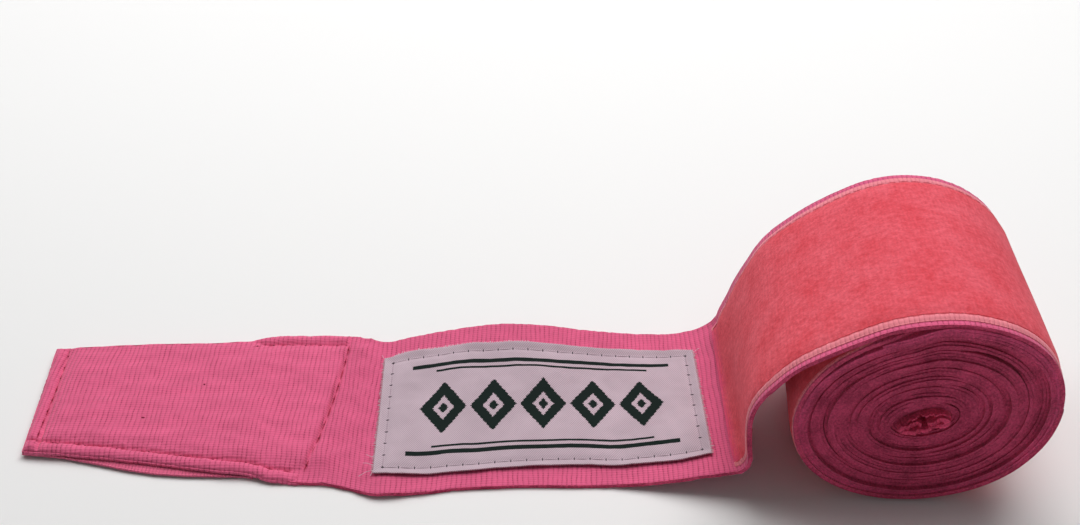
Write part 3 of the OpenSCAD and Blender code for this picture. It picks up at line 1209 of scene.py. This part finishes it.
@dataclass
class Label:
    """The woven label and its stitching."""

    cloth: BandCloth
    x0: float = -32.4 * MM
    length: float = 75.4 * MM
    near: float = -19.2 * MM
    far: float = 18.0 * MM
    thick: float = 0.35 * MM
    inset: float = 2.0 * MM

    # The course of the near edge, as (x, y) knots in millimetres.
    NEAR_EDGE = (
        (-33.0, -23.1), (-26.0, -22.6), (-12.5, -21.2), (2.0, -19.4),
        (12.0, -19.0), (43.0, -19.5),
    )

    def far_shift(self, x: float) -> float:
        """How far the label's far edge is drawn in at x."""
        return -2.9 * MM * hump(x, -36 * MM, 12 * MM)

    def bounds_at(self, s: float) -> tuple[float, float]:
        """The label's near and far edge at the share s of its length."""
        x = self.x0 + s * self.length
        near = chain(self.NEAR_EDGE, x / MM) * MM + 0.4 * MM * wobble(x * 110.0, 2.2)
        far = self.far + self.far_shift(x) + 0.4 * MM * wobble(x * 120.0, 5.5)
        corner = 0.9 * MM * (hump(s, 0.0, 0.035) + hump(s, 1.0, 0.03))
        return near + 0.3 * corner, far - corner

    def walk(self, s: float, t: float, up: float) -> Vector:
        """A point on the label's ground at shares s, t and a height above it."""
        band = self.cloth.band
        near, far = self.bounds_at(s)
        y = lerp(near, far, t)
        skew = 1.1 * MM * (0.5 - t) * (1.0 - s)
        m = band.line.where_x(self.x0) + s * self.length + skew
        return band.point(m, y, up)

    def relief(self, s: float, t: float) -> float:
        """How far the label stands off the band: it lifts outside its stitching."""
        in_s = min(s, 1.0 - s) * self.length
        in_t = min(t, 1.0 - t) * (self.far - self.near)
        edge = min(in_s, in_t)
        x = self.x0 + s * self.length
        lift = 0.28 * MM * (1.0 - smooth(0.0, 1.4 * MM, edge))
        curl = 0.35 * MM * (1.0 - smooth(0.0, 2.2 * MM, in_t))
        lift += curl * max(0.0, wobble(x * 140.0, t * 3.0))
        dip = 0.26 * MM * hump(edge, self.inset, 0.6 * MM)
        pillow = 0.30 * MM * smooth(self.inset, 7 * MM, edge)
        pillow *= 0.7 + 0.6 * wobble(x * 110.0, t * 4.0, 1.0)
        return lift - dip + pillow + 0.24 * MM

    def build(self) -> None:
        """Builds the label, its stitch line and its frayed ends."""
        fin = self.cloth.finishes
        width = self.far - self.near

        def place(s: float, t: float, d: float) -> Vector:
            """A point of the label's upper or lower face."""
            fray = 0.22 * MM * wobble(t * 60.0, s * 3.0, 8.0)
            side = fray * (hump(s, 0.0, 0.01) + hump(s, 1.0, 0.01)) / self.length
            return self.walk(s + side, t, self.relief(s, t) + (1 - d) * self.thick)

        def ruler(s: float, t: float) -> tuple[float, float]:
            """Flat lengths from the label's middle."""
            return (s - 0.5) * self.length, (t - 0.5) * width

        obj = cloth_slab("woven_label_cloth", 150, even_rows(76), place, ruler, 0.1 * MM)
        self.cloth.hinge(Piece(obj, fin.label, ("woven_label",), "label_weave"))
        bm = bmesh.new()
        pits = bmesh.new()
        self.lockstitch(bm, pits)
        ends = bmesh.new()
        self.frays(ends)
        yarns = finish_mesh(ends, "label_frayed_yarns")
        self.cloth.hinge(Piece(yarns, fin.label_yarn, ("woven_label",), "label_weave"))
        holes = finish_mesh(pits, "label_needle_hole_shade")
        self.cloth.hinge(Piece(holes, fin.label_hole_shade, ("label_stitch",), "label_thread"))
        threads = finish_mesh(bm, "label_stitch_thread")
        self.cloth.hinge(Piece(threads, fin.label_thread, ("label_stitch",), "label_thread"))

    def lockstitch(self, bm: bmesh.types.BMesh, holes: bmesh.types.BMesh) -> None:
        """Adds the four sides of the stitch line, and dark ticks at its needle holes that paint the
        shade in them.
        """
        width = self.far - self.near
        si, ti = self.inset / self.length, self.inset / width
        kind = Thread(2.9 * MM, 0.6 * MM, 0.11 * MM, 0.35)
        tick = 0.45 * MM
        sides = (
            ((si, ti), (1 - si, ti), self.length - 2 * self.inset),
            ((1 - si, ti), (1 - si, 1 - ti), width - 2 * self.inset),
            ((1 - si, 1 - ti), (si, 1 - ti), self.length - 2 * self.inset),
            ((si, 1 - ti), (si, ti), width - 2 * self.inset),
        )
        for (s0, t0), (s1, t1), length in sides:

            def walk(d: float, s0=s0, t0=t0, s1=s1, t1=t1, length=length) -> tuple[Vector, Vector]:
                """A point of this side of the stitch line."""
                k = d / length
                s, t = lerp(s0, s1, k), lerp(t0, t1, k)
                p = self.walk(s, t, self.relief(s, t) + self.thick)
                return p, UP

            stitch_row(bm, walk, length, kind)
            count = int(length / (kind.stitch + kind.gap))
            ds, dt = (0.0, tick / width) if s0 != s1 else (tick / self.length, 0.0)
            for i in range(count + 1):
                s, t = lerp(s0, s1, i / count), lerp(t0, t1, i / count)
                up = self.relief(s, t) + self.thick + 0.05 * MM
                a, b = self.walk(s - ds, t - dt, up), self.walk(s + ds, t + dt, up)
                add_stitch(holes, a, b, 0.15 * MM, UP)

    def frays(self, bm: bmesh.types.BMesh) -> None:
        """Adds loose yarns along the cut ends and the far edge, and some threads."""
        for end in (0.0, 1.0):
            for i in range(110):
                t = (i + 0.5 + 0.4 * wobble(i * 3.7, end * 9.0)) / 110
                self.yarn(bm, end, t, Vector((2.0 * end - 1.0, 0.0, 0.0)), i + 200 * end)
        for i in range(90):
            self.yarn(bm, lerp(0.03, 0.46, i / 90), 1.0, ACROSS, i + 500.0)
        for s, t, turn, length in (
            (0.0, 0.02, 200.0, 3.4), (0.0, 0.06, 165.0, 2.6), (0.0, 0.13, 215.0, 2.2),
            (0.0, 0.99, 130.0, 1.8), (1.0, 0.97, 35.0, 2.4), (0.0, 0.03, 250.0, 2.0),
        ):
            self.loose_thread(bm, s, t, math.radians(turn), length * MM)

    def yarn(
        self, bm: bmesh.types.BMesh, s: float, t: float, out: Vector, seed: float
    ) -> None:
        """Adds one short frayed yarn.

        Args:
            bm: the mesh to add to.
            s: share of the label's length where it starts.
            t: share of the label's width where it starts.
            out: the direction away from the label.
            seed: picks the yarn's length and slant.
        """
        root = self.walk(s, t, self.relief(s, t) + 0.6 * self.thick)
        length = (0.35 + 0.9 * abs(wobble(seed * 1.9, 3.0))) * MM
        slant = 1.1 * wobble(seed * 2.3, 4.0) * out.cross(UP)
        tip = root + length * (out + slant) + 0.25 * MM * wobble(seed * 5.1, 1.0) * UP
        add_stitch(bm, root - 0.3 * MM * out, tip, 0.08 * MM, UP)

    def loose_thread(
        self, bm: bmesh.types.BMesh, s: float, t: float, heading: float, length: float
    ) -> None:
        """Adds one loose curling thread that starts at shares s, t."""
        a = self.walk(s, t, self.relief(s, t) + 0.6 * self.thick)
        for i in range(7):
            heading += 0.7 * wobble(i * 0.9, t * 50.0, s)
            step = Vector((math.cos(heading), math.sin(heading), 0.25 - 0.1 * i))
            b = a + step * length / 7.0
            b.z = max(b.z, 1.05 * MM)
            add_stitch(bm, a - (b - a) * 0.2, b + (b - a) * 0.2, 0.06 * MM, UP)
            a = b


@dataclass
class ClosureTab:
    """The tapered tab: two layers, topstitching and hook tape."""

    band: Band
    finishes: Finishes
    ply: float = 0.7 * MM
    bend_from: Vector = field(default_factory=lambda: Vector((-70 * MM, 0, 2 * MM)))
    bend_to: Vector = field(default_factory=lambda: Vector((-54 * MM, 0, 2 * MM)))
    stitch_in: float = 3.3 * MM
    tape_from: float = -110.6 * MM
    tape_to: float = -63.2 * MM
    hook_pitch: float = 1.55 * MM

    # Each layer's flat width and length, and the share of that rectangle it was cut to.
    UPPER_FLAT = (48 * MM, 69 * MM)
    UPPER_SHARE = 0.90
    LOWER_FLAT = (40 * MM, 53 * MM)
    TAPE_FLAT = (40 * MM, 47.4 * MM)
    TAPE_SHARE = 0.92

    # The courses of the tab's two long edges, as (x, y) knots in millimetres.
    NEAR_EDGE = (
        (-113.0, -17.6), (-102.0, -18.2), (-84.0, -20.2), (-66.0, -22.5),
        (-60.5, -22.9), (-57.5, -23.5), (-54.5, -24.5), (-46.0, -24.8), (-42.0, -24.8),
    )
    FAR_EDGE = (
        (-113.0, 16.1), (-97.0, 17.2), (-83.0, 18.0), (-72.0, 18.5), (-67.0, 19.4),
        (-60.0, 21.7), (-53.0, 22.6), (-46.0, 22.6), (-42.0, 22.8),
    )

    def edge(self, x: float, side: Side) -> float:
        """The y of a long edge of the tab at x."""
        knots = self.NEAR_EDGE if side is Side.NEAR else self.FAR_EDGE
        return chain(knots, x / MM) * MM + 0.15 * MM * wobble(x * 160.0, side.value * 2.0)

    def ends(self, t: float) -> tuple[float, float]:
        """The x of the free end and of the cross seam at share t across."""
        y = lerp(-1.0, 1.0, t)
        free = (-112.2 - 0.9 * y) * MM
        return free, self.band.seam(y * 23.7 * MM)

    def spot(self, s: float, t: float) -> tuple[float, float]:
        """The (x, y) at share s along and t across the tab."""
        free, seam = self.ends(t)
        x = lerp(free, seam, s)
        return x, lerp(self.edge(x, Side.NEAR), self.edge(x, Side.FAR), t)

    def far_line(self, x: float) -> float:
        """How plainly the far topstitching shows at x."""
        return smooth(-70.0, -61.0, x / MM)

    def top(self, s: float, t: float) -> float:
        """The height of the tab's upper face above the surface."""
        x, y = self.spot(s, t)
        free, seam = self.ends(t)
        xm, ym = x / MM, y / MM
        near = (y - self.edge(x, Side.NEAR)) / MM
        far = (self.edge(x, Side.FAR) - y) / MM
        end = (x - free) / MM
        pitch = self.stitch_in / MM
        shown = self.far_line(x)
        lines = (near - pitch, lerp(far + 2.0, far - pitch, shown), end - pitch)
        inside = min(lines)
        rim = min(near, far, end)
        up = lerp(2.35, 1.5, smooth(-64.0, -52.0, xm)) + 0.6 * smooth(0.2, 3.6, inside)
        for line, weight in zip(lines, (1.0, shown, 1.0)):
            weight *= smooth(0.1, 1.3, rim)
            up -= 0.62 * weight * hump(line, 0.0, 0.45)
            up += 0.3 * weight * hump(line, -1.7, 1.0)
            tuck = wobble(xm * 0.9, ym * 0.9, 6.0)
            up += 0.22 * weight * tuck * hump(line, 0.0, 2.4)
        up -= 0.45 * (1.0 - smooth(0.0, 0.9, rim)) ** 2
        to_seam = (seam - x) / MM
        up -= 0.95 * (1.0 - smooth(0.0, 1.1, to_seam)) * (1.0 - 0.3 * smooth(0.5, 1.0, t))
        up -= 0.7 * (1.0 - smooth(0.0, 5.0, to_seam)) * (1.0 - smooth(0.02, 0.15, t))
        inner = smooth(0.0, 5.0, inside)
        up += 0.42 * wobble(xm * 0.035, ym * 0.16, 3.0) * inner
        up += 0.26 * wobble(xm * 0.12, ym * 0.3, 5.0) * inner
        up += 0.10 * wobble(xm * 0.4, ym * 0.5, 8.0)
        up += 0.30 * wobble(xm * 0.25, ym * 0.28, 11.0) * hump(to_seam, 3.0, 5.0)
        return max(up * MM, self.ply + 0.08 * MM)

    def bend(self, piece: Piece) -> bpy.types.Object:
        """Dresses a piece and bakes its placement; the bend at the root of the tab is not made."""
        return piece.bend(Body.TAB, Body.LABEL, self.bend_from, self.bend_to)

    def build(self) -> None:
        """Builds both layers, the hook tape and the stitching."""
        self.upper_layer()
        self.lower_layer()
        self.topstitch()
        self.cross_seam()
        self.hook_tape()

    def upper_layer(self) -> None:
        """The upper cloth, from the free end to the cross seam."""

        def place(s: float, t: float, d: float) -> Vector:
            """A point of the upper layer's two faces."""
            x, y = self.spot(s, t)
            return Vector((x, y, self.top(s, t) - d * self.ply))

        def ruler(s: float, t: float) -> tuple[float, float]:
            """Flat lengths in step with the band's own ribs."""
            x, y = self.spot(s, t)
            return x - self.band.start_x, y

        obj = cloth_slab("tab_upper_cloth", 150, even_rows(84, 0.3), place, ruler, 0.24 * MM)
        nodes = ("tab_upper_ply", "seam_allowance_ply")
        self.bend(Piece(obj, self.finishes.tab, nodes, "band_knit"))

    def lower_layer(self) -> None:
        """The lower cloth, which shows as a thin strip along the near edge."""

        def place(s: float, t: float, d: float) -> Vector:
            """A point of the lower layer's two faces."""
            x = lerp(-111.6 * MM, -58.5 * MM, s)
            near = self.edge(x, Side.NEAR) + (0.3 - 2.2 * hump(s, 0.56, 0.3)) * MM
            far = self.edge(x, Side.FAR) - 0.4 * MM
            y = lerp(near, far, t)
            up = 1.62 - 0.62 * (1.0 - smooth(0.0, 0.16, t))
            up -= 0.35 * smooth(0.85, 1.0, s)
            return Vector((x, y, (up - d * 0.55) * MM))

        def ruler(s: float, t: float) -> tuple[float, float]:
            """Flat lengths of the lower layer."""
            return s * 53 * MM, t * 40 * MM

        obj = cloth_slab("tab_lower_cloth", 60, even_rows(30, 0.3), place, ruler, 0.16 * MM)
        self.bend(Piece(obj, self.finishes.under, ("tab_lower_ply",), "band_knit"))

    def on_top(self, x: float, y: float) -> Vector:
        """The point of the upper face over (x, y)."""
        near, far = self.edge(x, Side.NEAR), self.edge(x, Side.FAR)
        t = min(1.0, max(0.0, (y - near) / (far - near)))
        free, seam = self.ends(t)
        s = min(1.0, max(0.0, (x - free) / (seam - free)))
        return Vector((x, y, self.top(s, t)))

    def row(
        self, bm: bmesh.types.BMesh, course: Sequence[tuple[float, float]], kind: Thread,
        skip: Callable[[int], bool] = lambda i: False,
        level: float | None = None, face: Vector = UP,
    ) -> None:
        """Adds a row of stitches over a course of (x, y) points on the tab.

        Args:
            bm: the mesh to add to.
            course: the points, in order.
            kind: the stitch's sizes.
            skip: says which stitches by number are left out.
            level: the row's height, or None to follow the tab's upper face.
            face: the direction that the cloth faces there.
        """
        line = SideLine([Vector(p) for p in course])

        def walk(d: float) -> tuple[Vector, Vector]:
            """The point of the course on the cloth."""
            p, _ = line.at(d)
            spot = self.on_top(p.x, p.z) if level is None else Vector((p.x, p.z, level))
            return spot, face

        stitch_row(bm, walk, line.length, kind, skip)

    def topstitch(self) -> None:
        """The stitching round the tab's edges."""
        bm = bmesh.new()
        kind = Thread(2.7 * MM, 0.9 * MM, 0.10 * MM, 0.55)
        end = self.ends(0.5)[0] + self.stitch_in
        xs = [lerp(end, -49.5 * MM, i / 40) for i in range(41)]
        near = [(x, self.edge(x, Side.NEAR) + self.stitch_in) for x in xs]
        self.row(bm, near, kind, lambda i: i % 7 == 4)

        def along_far(x0: float, x1: float, inset: float) -> list[tuple[float, float]]:
            """A course beside the far edge from x0 to x1, in millimetres."""
            xs = [lerp(x0 * MM, x1 * MM, i / 30) for i in range(31)]
            return [(x, self.edge(x, Side.FAR) - inset) for x in xs]

        far = along_far(-66.0, -43.5, self.stitch_in)
        self.row(bm, far, kind)
        rim = along_far(-107.0, -68.0, 0.9 * MM)
        self.row(bm, rim, kind, lambda i: i % 3 == 1)
        y0, y1 = near[0][1], self.edge(end, Side.FAR) - 1.2 * MM
        side = [(end - 0.5 * MM * i / 12, lerp(y0, y1, i / 12)) for i in range(13)]
        self.row(bm, side, Thread(2.7 * MM, 0.9 * MM, 0.14 * MM, 0.45))
        # Dark spindles at the needle holes: painted shade in the holes.
        bm_hole_shade = bmesh.new()
        hole = Thread(0.55 * MM, 3.05 * MM, 0.2 * MM, 0.35)
        self.row(bm_hole_shade, side, hole)
        self.row(bm_hole_shade, near, Thread(0.5 * MM, 6.7 * MM, 0.17 * MM, 0.4))
        self.row(bm_hole_shade, far, Thread(0.5 * MM, 3.1 * MM, 0.17 * MM, 0.4))
        for x, y, length in ((-74.6, 3.5, 0.5), (-86.7, -7.4, 0.9)):
            a, b = self.on_top(x * MM, y * MM), self.on_top((x + length) * MM, y * MM)
            add_stitch(bm_hole_shade, a, b, 0.2 * MM, UP)
        pits = finish_mesh(bm_hole_shade, "tab_needle_hole_shade")
        self.bend(Piece(pits, self.finishes.holes, ("tab_edge_stitch",), "thread"))
        obj = finish_mesh(bm, "tab_edge_thread")
        self.bend(Piece(obj, self.finishes.thread, ("tab_edge_stitch",), "thread"))

    def cross_seam(self) -> None:
        """The seam that joins the tab to the band."""
        bm = bmesh.new()
        course = []
        for i in range(25):
            t = lerp(0.06, 0.93, i / 24)
            seam = self.ends(t)[1]
            y = lerp(self.edge(seam, Side.NEAR), self.edge(seam, Side.FAR), t)
            course.append((seam + 0.15 * MM, y))
        groove = 1.3 * MM
        self.row(bm, course, Thread(3.2 * MM, 0.8 * MM, 0.15 * MM, 0.2), level=groove)
        # Dark spindles at the seam's needle holes: painted shade in the holes.
        pits = bmesh.new()
        hole = Thread(0.6 * MM, 3.4 * MM, 0.22 * MM, 0.3)
        self.row(pits, course, hole, lambda i: i % 3 == 1, groove)
        holes = finish_mesh(pits, "cross_seam_hole_shade")
        Piece(holes, self.finishes.holes, ("cross_seam_stitch",), "thread").settle(Body.LABEL)
        obj = finish_mesh(bm, "cross_seam_thread")
        Piece(obj, self.finishes.thread, ("cross_seam_stitch",), "thread").settle(Body.LABEL)

    def hook_tape(self) -> None:
        """The hook tape: its woven backing and its field of hooks."""
        x0, x1, pitch = self.tape_from, self.tape_to, self.hook_pitch
        under = 0.66 * MM

        def place(s: float, t: float, d: float) -> Vector:
            """A point of the backing's two faces."""
            x = lerp(x0, x1, s)
            near = self.edge(x, Side.NEAR) + 1.0 * MM
            far = self.edge(x, Side.FAR) - 1.2 * MM
            return Vector((x, lerp(near, far, t), (1.0 - 0.35 * d) * MM))

        def ruler(s: float, t: float) -> tuple[float, float]:
            """Flat lengths of the backing."""
            return s * 47 * MM, t * 38 * MM

        obj = cloth_slab("hook_tape_backing", 40, even_rows(24), place, ruler, 0.1 * MM)
        Piece(obj, self.finishes.under, ("hook_tape",), "hook_nylon").settle(Body.TAB)
        bm = bmesh.new()
        shape = Stamp("hook_shape", self.draw_hook)
        for i in range(int((x1 - x0 - 3 * MM) / pitch)):
            x = x0 + 1.6 * MM + i * pitch
            near = self.edge(x, Side.NEAR) + 2.4 * MM
            far = self.edge(x, Side.FAR) - 2.6 * MM
            for j in range(int((far - near) / pitch)):
                place = Matrix.Translation((x, near + j * pitch, under))
                if j % 2:
                    place = place @ Matrix.Rotation(math.pi, 4, "Z")
                shape.press(bm, place)
        hooks = finish_mesh(bm, "hook_field")
        hooks.data.materials.append(self.finishes.hooks)
        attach(hooks, Body.TAB.value)
        bm = bmesh.new()
        root = [(-64.4 * MM, lerp(-18.6 * MM, 15.6 * MM, i / 12)) for i in range(13)]
        kind = Thread(2.6 * MM, 0.6 * MM, 0.13 * MM, 0.3)
        self.row(bm, root, kind, level=under, face=-UP)
        thread = finish_mesh(bm, "hook_tape_thread")
        Piece(thread, self.finishes.thread, ("hook_tape_stitch",), "thread").settle(Body.TAB)

    @staticmethod
    def draw_hook(bm: bmesh.types.BMesh) -> None:
        """Draws one small hook that hangs from the origin and bends to +X."""
        ring = bmesh.ops.create_circle(bm, cap_ends=True, segments=5, radius=0.11 * MM)["verts"]
        face = next(f for f in ring[0].link_faces if len(f.verts) == 5)
        for dx, dz, turn in ((0.0, -0.32, 0), (0.1, -0.18, 40), (0.2, -0.02, 60), (0.12, 0.14, 50)):
            made = bmesh.ops.extrude_discrete_faces(bm, faces=[face])["faces"][0]
            bmesh.ops.translate(bm, verts=made.verts, vec=Vector((dx, 0.0, dz)) * MM)
            middle = made.calc_center_median()
            spin = Matrix.Rotation(math.radians(-turn), 3, "Y")
            bmesh.ops.rotate(bm, verts=made.verts, cent=middle, matrix=spin)
            face = made


@dataclass
class WoundTurns:
    """The inner turns of the band, and the crumpled cloth in the core."""

    band: Band
    finishes: Finishes
    turns: int = 31
    per_turn: int = 76
    outer_inset: float = 1.76 * MM
    core_long: float = 5.0 * MM
    core_short: float = 2.7 * MM
    sag: float = 2.0 * MM
    fill: float = 0.975

    # Where groups of turns shift along the roll: (turn, near, far), in millimetres.
    GROUPS = (
        (0.0, 0.15, 0.1), (3.2, 0.3, 0.0), (3.5, -0.5, 0.4), (8.0, -0.2, 0.1),
        (8.3, -1.1, -0.6), (8.7, 0.15, -0.2), (14.0, 0.2, 0.3), (14.3, -0.45, -0.1),
        (21.0, -0.1, 0.2), (21.4, -0.6, -0.3), (27.0, -0.2, 0.0), (31.0, -0.7, -0.9),
    )

    def course(self, p: float, angle: float, opened: bool = True) -> Vector:
        """The (x, z) place of the cloth's outer face, p turns in from the outside.

        Args:
            p: turns from the start.
            angle: ellipse angle.
            opened: whether the crease by the core is left open.

        Returns:
            The point.
        """
        roll = self.band.roll
        whole = math.floor(p)
        share = p - whole
        k = min(1.0, (whole + smooth(0.72, 1.0, share)) / self.turns)
        a = lerp(roll.long_half - self.outer_inset, self.core_long, k)
        b = lerp(roll.short_half - self.outer_inset, self.core_short, k)
        dent = 1.0 - smooth(0.03, 0.085, share) if share < 0.5 else smooth(0.76, 0.985, share)
        inset = self.band.dive * dent * (1.0 - smooth(0.0, 0.75, k))
        inset += 0.10 * MM * wobble(p * 0.3, math.cos(angle), math.sin(angle)) * smooth(0, 3, p)
        if opened:
            inset += 0.6 * MM * smooth(28.0, 28.2, p) * hump(share, 0.2, 0.08)
            inset += 0.16 * MM * smooth(8.2, 8.4, p) * (1.0 - smooth(15.0, 30.0, p))
        q = roll.oval(angle, a - inset, b - inset)
        return q - Vector((0.0, self.sag * k * k))

    def stand_out(self, p: float, angle: float, side: Side) -> float:
        """How far a turn's edge stands out of the roll's end."""
        c, s = math.cos(angle), math.sin(angle)
        seed = 11.0 * side.value
        rank = 1 if side is Side.NEAR else 2
        shifted = p + 0.3 * c + 0.2 * side.value * s
        out = chain([(g[0], g[rank]) for g in self.GROUPS], shifted)
        out += 0.40 * wobble(p * 0.35 + seed, 0.7 * c, 0.7 * s)
        out += 0.42 * wobble(p * 1.37 + seed, 0.5 * c, 0.5 * s)
        out += 0.10 * wobble(p * 2.0 + seed, 4.0 * c, 4.0 * s)
        out += 0.07 * wobble(p * 3.0 + seed, 16.0 * c, 16.0 * s)
        return out * MM

    def build(self) -> None:
        """Builds the turns, the hemmed inner end, the thumb loop and its tack."""
        self.spiral()
        self.core()

    def spiral(self) -> None:
        """The wound turns as one long cloth."""
        start = self.band.leave
        steps = self.turns * self.per_turn
        shares = [i / self.per_turn for i in range(steps + 1)]
        points = [self.course(p, start - TURN * p) for p in shares]
        line = SideLine(points)
        half = self.band.width / 2.0 - 0.45 * MM
        rows = [0.0, 0.012, 0.06, 0.5, 0.94, 0.988, 1.0]

        def place(s: float, t: float, d: float) -> Vector:
            """A point of the cloth's outer or inner face."""
            i = min(steps, round(s * steps))
            p, angle, q = shares[i], start - TURN * shares[i], points[i]
            near = -half - self.stand_out(p, angle, Side.NEAR)
            far = half + self.stand_out(p, angle, Side.FAR)
            if d:
                to_next = self.course(p + 1.0, angle, False) - self.course(p, angle, False)
                q = q + self.fill * to_next
            spot = Vector((q.x, lerp(near, far, t), q.y))
            return spot + self.band.creep(spot)

        def ruler(s: float, t: float) -> tuple[float, float]:
            """Flat lengths of the wound cloth."""
            i = min(steps, round(s * steps))
            return line.marks[i], (t - 0.5) * self.band.width

        obj = cloth_slab("wound_turns", steps, rows, place, ruler, 0.16 * MM)
        Piece(obj, self.finishes.band_end, ("band_wound_turns",), "band_knit").settle(Body.ROLL)
        LOG.info("wound cloth: %.2f m", line.length)

    # The courses of the hemmed end and of the thumb loop, as (x, z) in millimetres
    # from the middle of the roll.
    HEM_COURSE = (
        (-0.8, -2.65), (-2.2, -2.8), (-3.5, -3.1), (-4.1, -3.45), (-3.5, -3.65),
        (-2.0, -3.35), (-0.6, -3.1), (0.8, -2.75), (2.1, -2.3), (3.1, -1.8), (3.5, -1.35),
        (3.2, -1.15), (2.2, -1.7), (1.2, -2.15), (0.6, -2.4),
    )
    LOOP_COURSE = (
        (4.6, -1.4), (4.6, -0.7), (3.7, 0.2), (2.4, 0.4), (1.0, 0.25), (-0.3, -0.1),
        (-1.6, -0.7), (-2.8, -1.1), (-3.8, -1.9), (-4.4, -2.7),
    )

    def crumple(self, course: Sequence[tuple[float, float]], per_step: int) -> list[Vector]:
        """A smooth course through core points.

        Args:
            course: the points, in millimetres from the middle of the roll.
            per_step: how many steps lie between two points.

        Returns:
            The course's points.
        """
        marks = [self.band.roll.centre + Vector(p) * MM for p in course]
        last = len(marks) - 1
        out = []
        for i in range(last):
            p, q = marks[i], marks[i + 1]
            u = (q - marks[max(i - 1, 0)]) / 6.0
            v = (marks[min(i + 2, last)] - p) / 6.0
            out += [cubic(p, u, q, v, k / per_step) for k in range(per_step)]
        return out + [marks[last]]

    def ribbon(
        self, name: str, points: Sequence[Vector], y0: float, y1: float, thick: float,
        node: str, material: bpy.types.Material,
    ) -> bpy.types.Object:
        """A short length of cloth that follows core points across the roll.

        Args:
            name: the piece's name.
            points: its course in the XZ plane.
            y0: its near end.
            y1: its far end.
            thick: its thickness.
            node: the CAD node that it stands for.
            material: its material.

        Returns:
            The object.
        """
        line = SideLine(points)

        def place(s: float, t: float, d: float) -> Vector:
            """A point of the ribbon's two faces."""
            p, n = line.at(s * line.length)
            near = y0 + 1.3 * MM * wobble(s * 7.0, 5.0) + 0.5 * MM * wobble(s * 31.0, 2.0)
            spot = p - n * thick * d + ACROSS * lerp(near, y1, t)
            return spot + self.band.creep(spot)

        def ruler(s: float, t: float) -> tuple[float, float]:
            """Flat lengths of the ribbon."""
            return s * line.length, t * (y1 - y0)

        obj = cloth_slab(name, 108, even_rows(6, 0.6), place, ruler, thick * 0.3)
        Piece(obj, material, (node,), "band_knit").settle(Body.ROLL)
        return obj

    def core(self) -> None:
        """The hemmed inner end, the thumb loop and the bar tack."""
        half = self.band.width / 2.0
        hem = self.crumple(self.HEM_COURSE, 6)
        self.ribbon(
            "inner_end_cloth", hem, -half - 0.7 * MM, half - 0.9 * MM, 1.2 * MM,
            "inner_end_hem", self.finishes.core,
        )
        loop = self.crumple(self.LOOP_COURSE, 6)
        self.ribbon(
            "thumb_loop_cloth", loop, -half - 0.3 * MM, -half + 13.5 * MM, 0.5 * MM,
            "thumb_loop", self.finishes.core,
        )
        bm = bmesh.new()
        spot = self.band.roll.centre + Vector((1.2, 0.8)) * MM
        for i in range(9):
            middle = Vector((spot.x, -half + (2.4 + 0.7 * i) * MM, spot.y))
            middle += self.band.creep(middle)
            reach = Vector((0.9, 0.0, 0.12)) * MM
            add_stitch(bm, middle - reach, middle + reach, 0.16 * MM, UP)
        obj = finish_mesh(bm, "thumb_loop_tack")
        Piece(obj, self.finishes.thread, ("thumb_loop_bar_tack",), "thread").settle(Body.ROLL)


# ------------------------------------------------------------------------------- stage


@dataclass
class Stage:
    """The floor, the lights and the camera."""

    floor_colour: Colour = (0.86, 0.855, 0.85)
    eye: Vector = field(default_factory=lambda: Vector((8.76, -225.78, 232.29)) * MM)
    look_down: float = 39.78
    look_left: float = 1.04
    focal: float = 45.93

    def build(self) -> None:
        """Builds the whole stage."""
        self.floor()
        self.light("key_light", Vector((0.16, 0.30, 0.62)), 0.55, 4.5)
        self.light("back_light", Vector((-0.30, 0.34, 0.42)), 0.45, 1.2)
        self.light("fill_light", Vector((0.0, -0.55, 0.35)), 0.5, 0.12)
        self.world()
        self.camera()

    def floor(self) -> None:
        """A plain pale floor."""
        bm = bmesh.new()
        bmesh.ops.create_grid(bm, x_segments=1, y_segments=1, size=4.0)
        obj = finish_mesh(bm, "floor")
        mat = bpy.data.materials.new("floor_paint")
        mat.use_nodes = True
        shader = next(n for n in mat.node_tree.nodes if n.type == "BSDF_PRINCIPLED")
        shader.inputs["Base Color"].default_value = rgba(self.floor_colour)
        shader.inputs["Roughness"].default_value = 0.9
        obj.data.materials.append(mat)

    def light(self, name: str, spot: Vector, size: float, watts: float) -> None:
        """A square area light that faces the wrap."""
        data = bpy.data.lights.new(name, "AREA")
        data.shape = "SQUARE"
        data.size = size
        data.energy = watts
        obj = bpy.data.objects.new(name, data)
        obj.location = spot
        aim = Vector((0.02, 0.0, 0.01)) - spot
        obj.rotation_euler = aim.to_track_quat("-Z", "Y").to_euler()
        bpy.context.scene.collection.objects.link(obj)

    def world(self) -> None:
        """An even pale surround."""
        world = bpy.data.worlds.new("surround")
        world.use_nodes = True
        back = next(n for n in world.node_tree.nodes if n.type == "BACKGROUND")
        back.inputs["Color"].default_value = (1.0, 1.0, 1.0, 1.0)
        back.inputs["Strength"].default_value = 0.12
        bpy.context.scene.world = world

    def camera(self) -> None:
        """The camera."""
        data = bpy.data.cameras.new("camera")
        data.sensor_width = 36.0
        data.lens = self.focal
        data.clip_start = 0.01
        obj = bpy.data.objects.new("camera", data)
        obj.location = self.eye
        tilt = math.radians(90.0 - self.look_down)
        obj.rotation_euler = Euler((tilt, 0.0, math.radians(self.look_left)))
        bpy.context.scene.collection.objects.link(obj)
        bpy.context.scene.camera = obj
        bpy.context.scene.view_settings.view_transform = "Standard"


def main() -> None:
    """Builds the wrap and its stage."""
    logging.basicConfig(level=logging.INFO, format="%(message)s")
    finishes = Finishes()
    band = Band()
    cloth = BandCloth(band, finishes)
    cloth.build()
    Label(cloth).build()
    ClosureTab(band, finishes).build()
    WoundTurns(band, finishes).build()
    Stage().build()


if __name__ == "__main__":
    main()
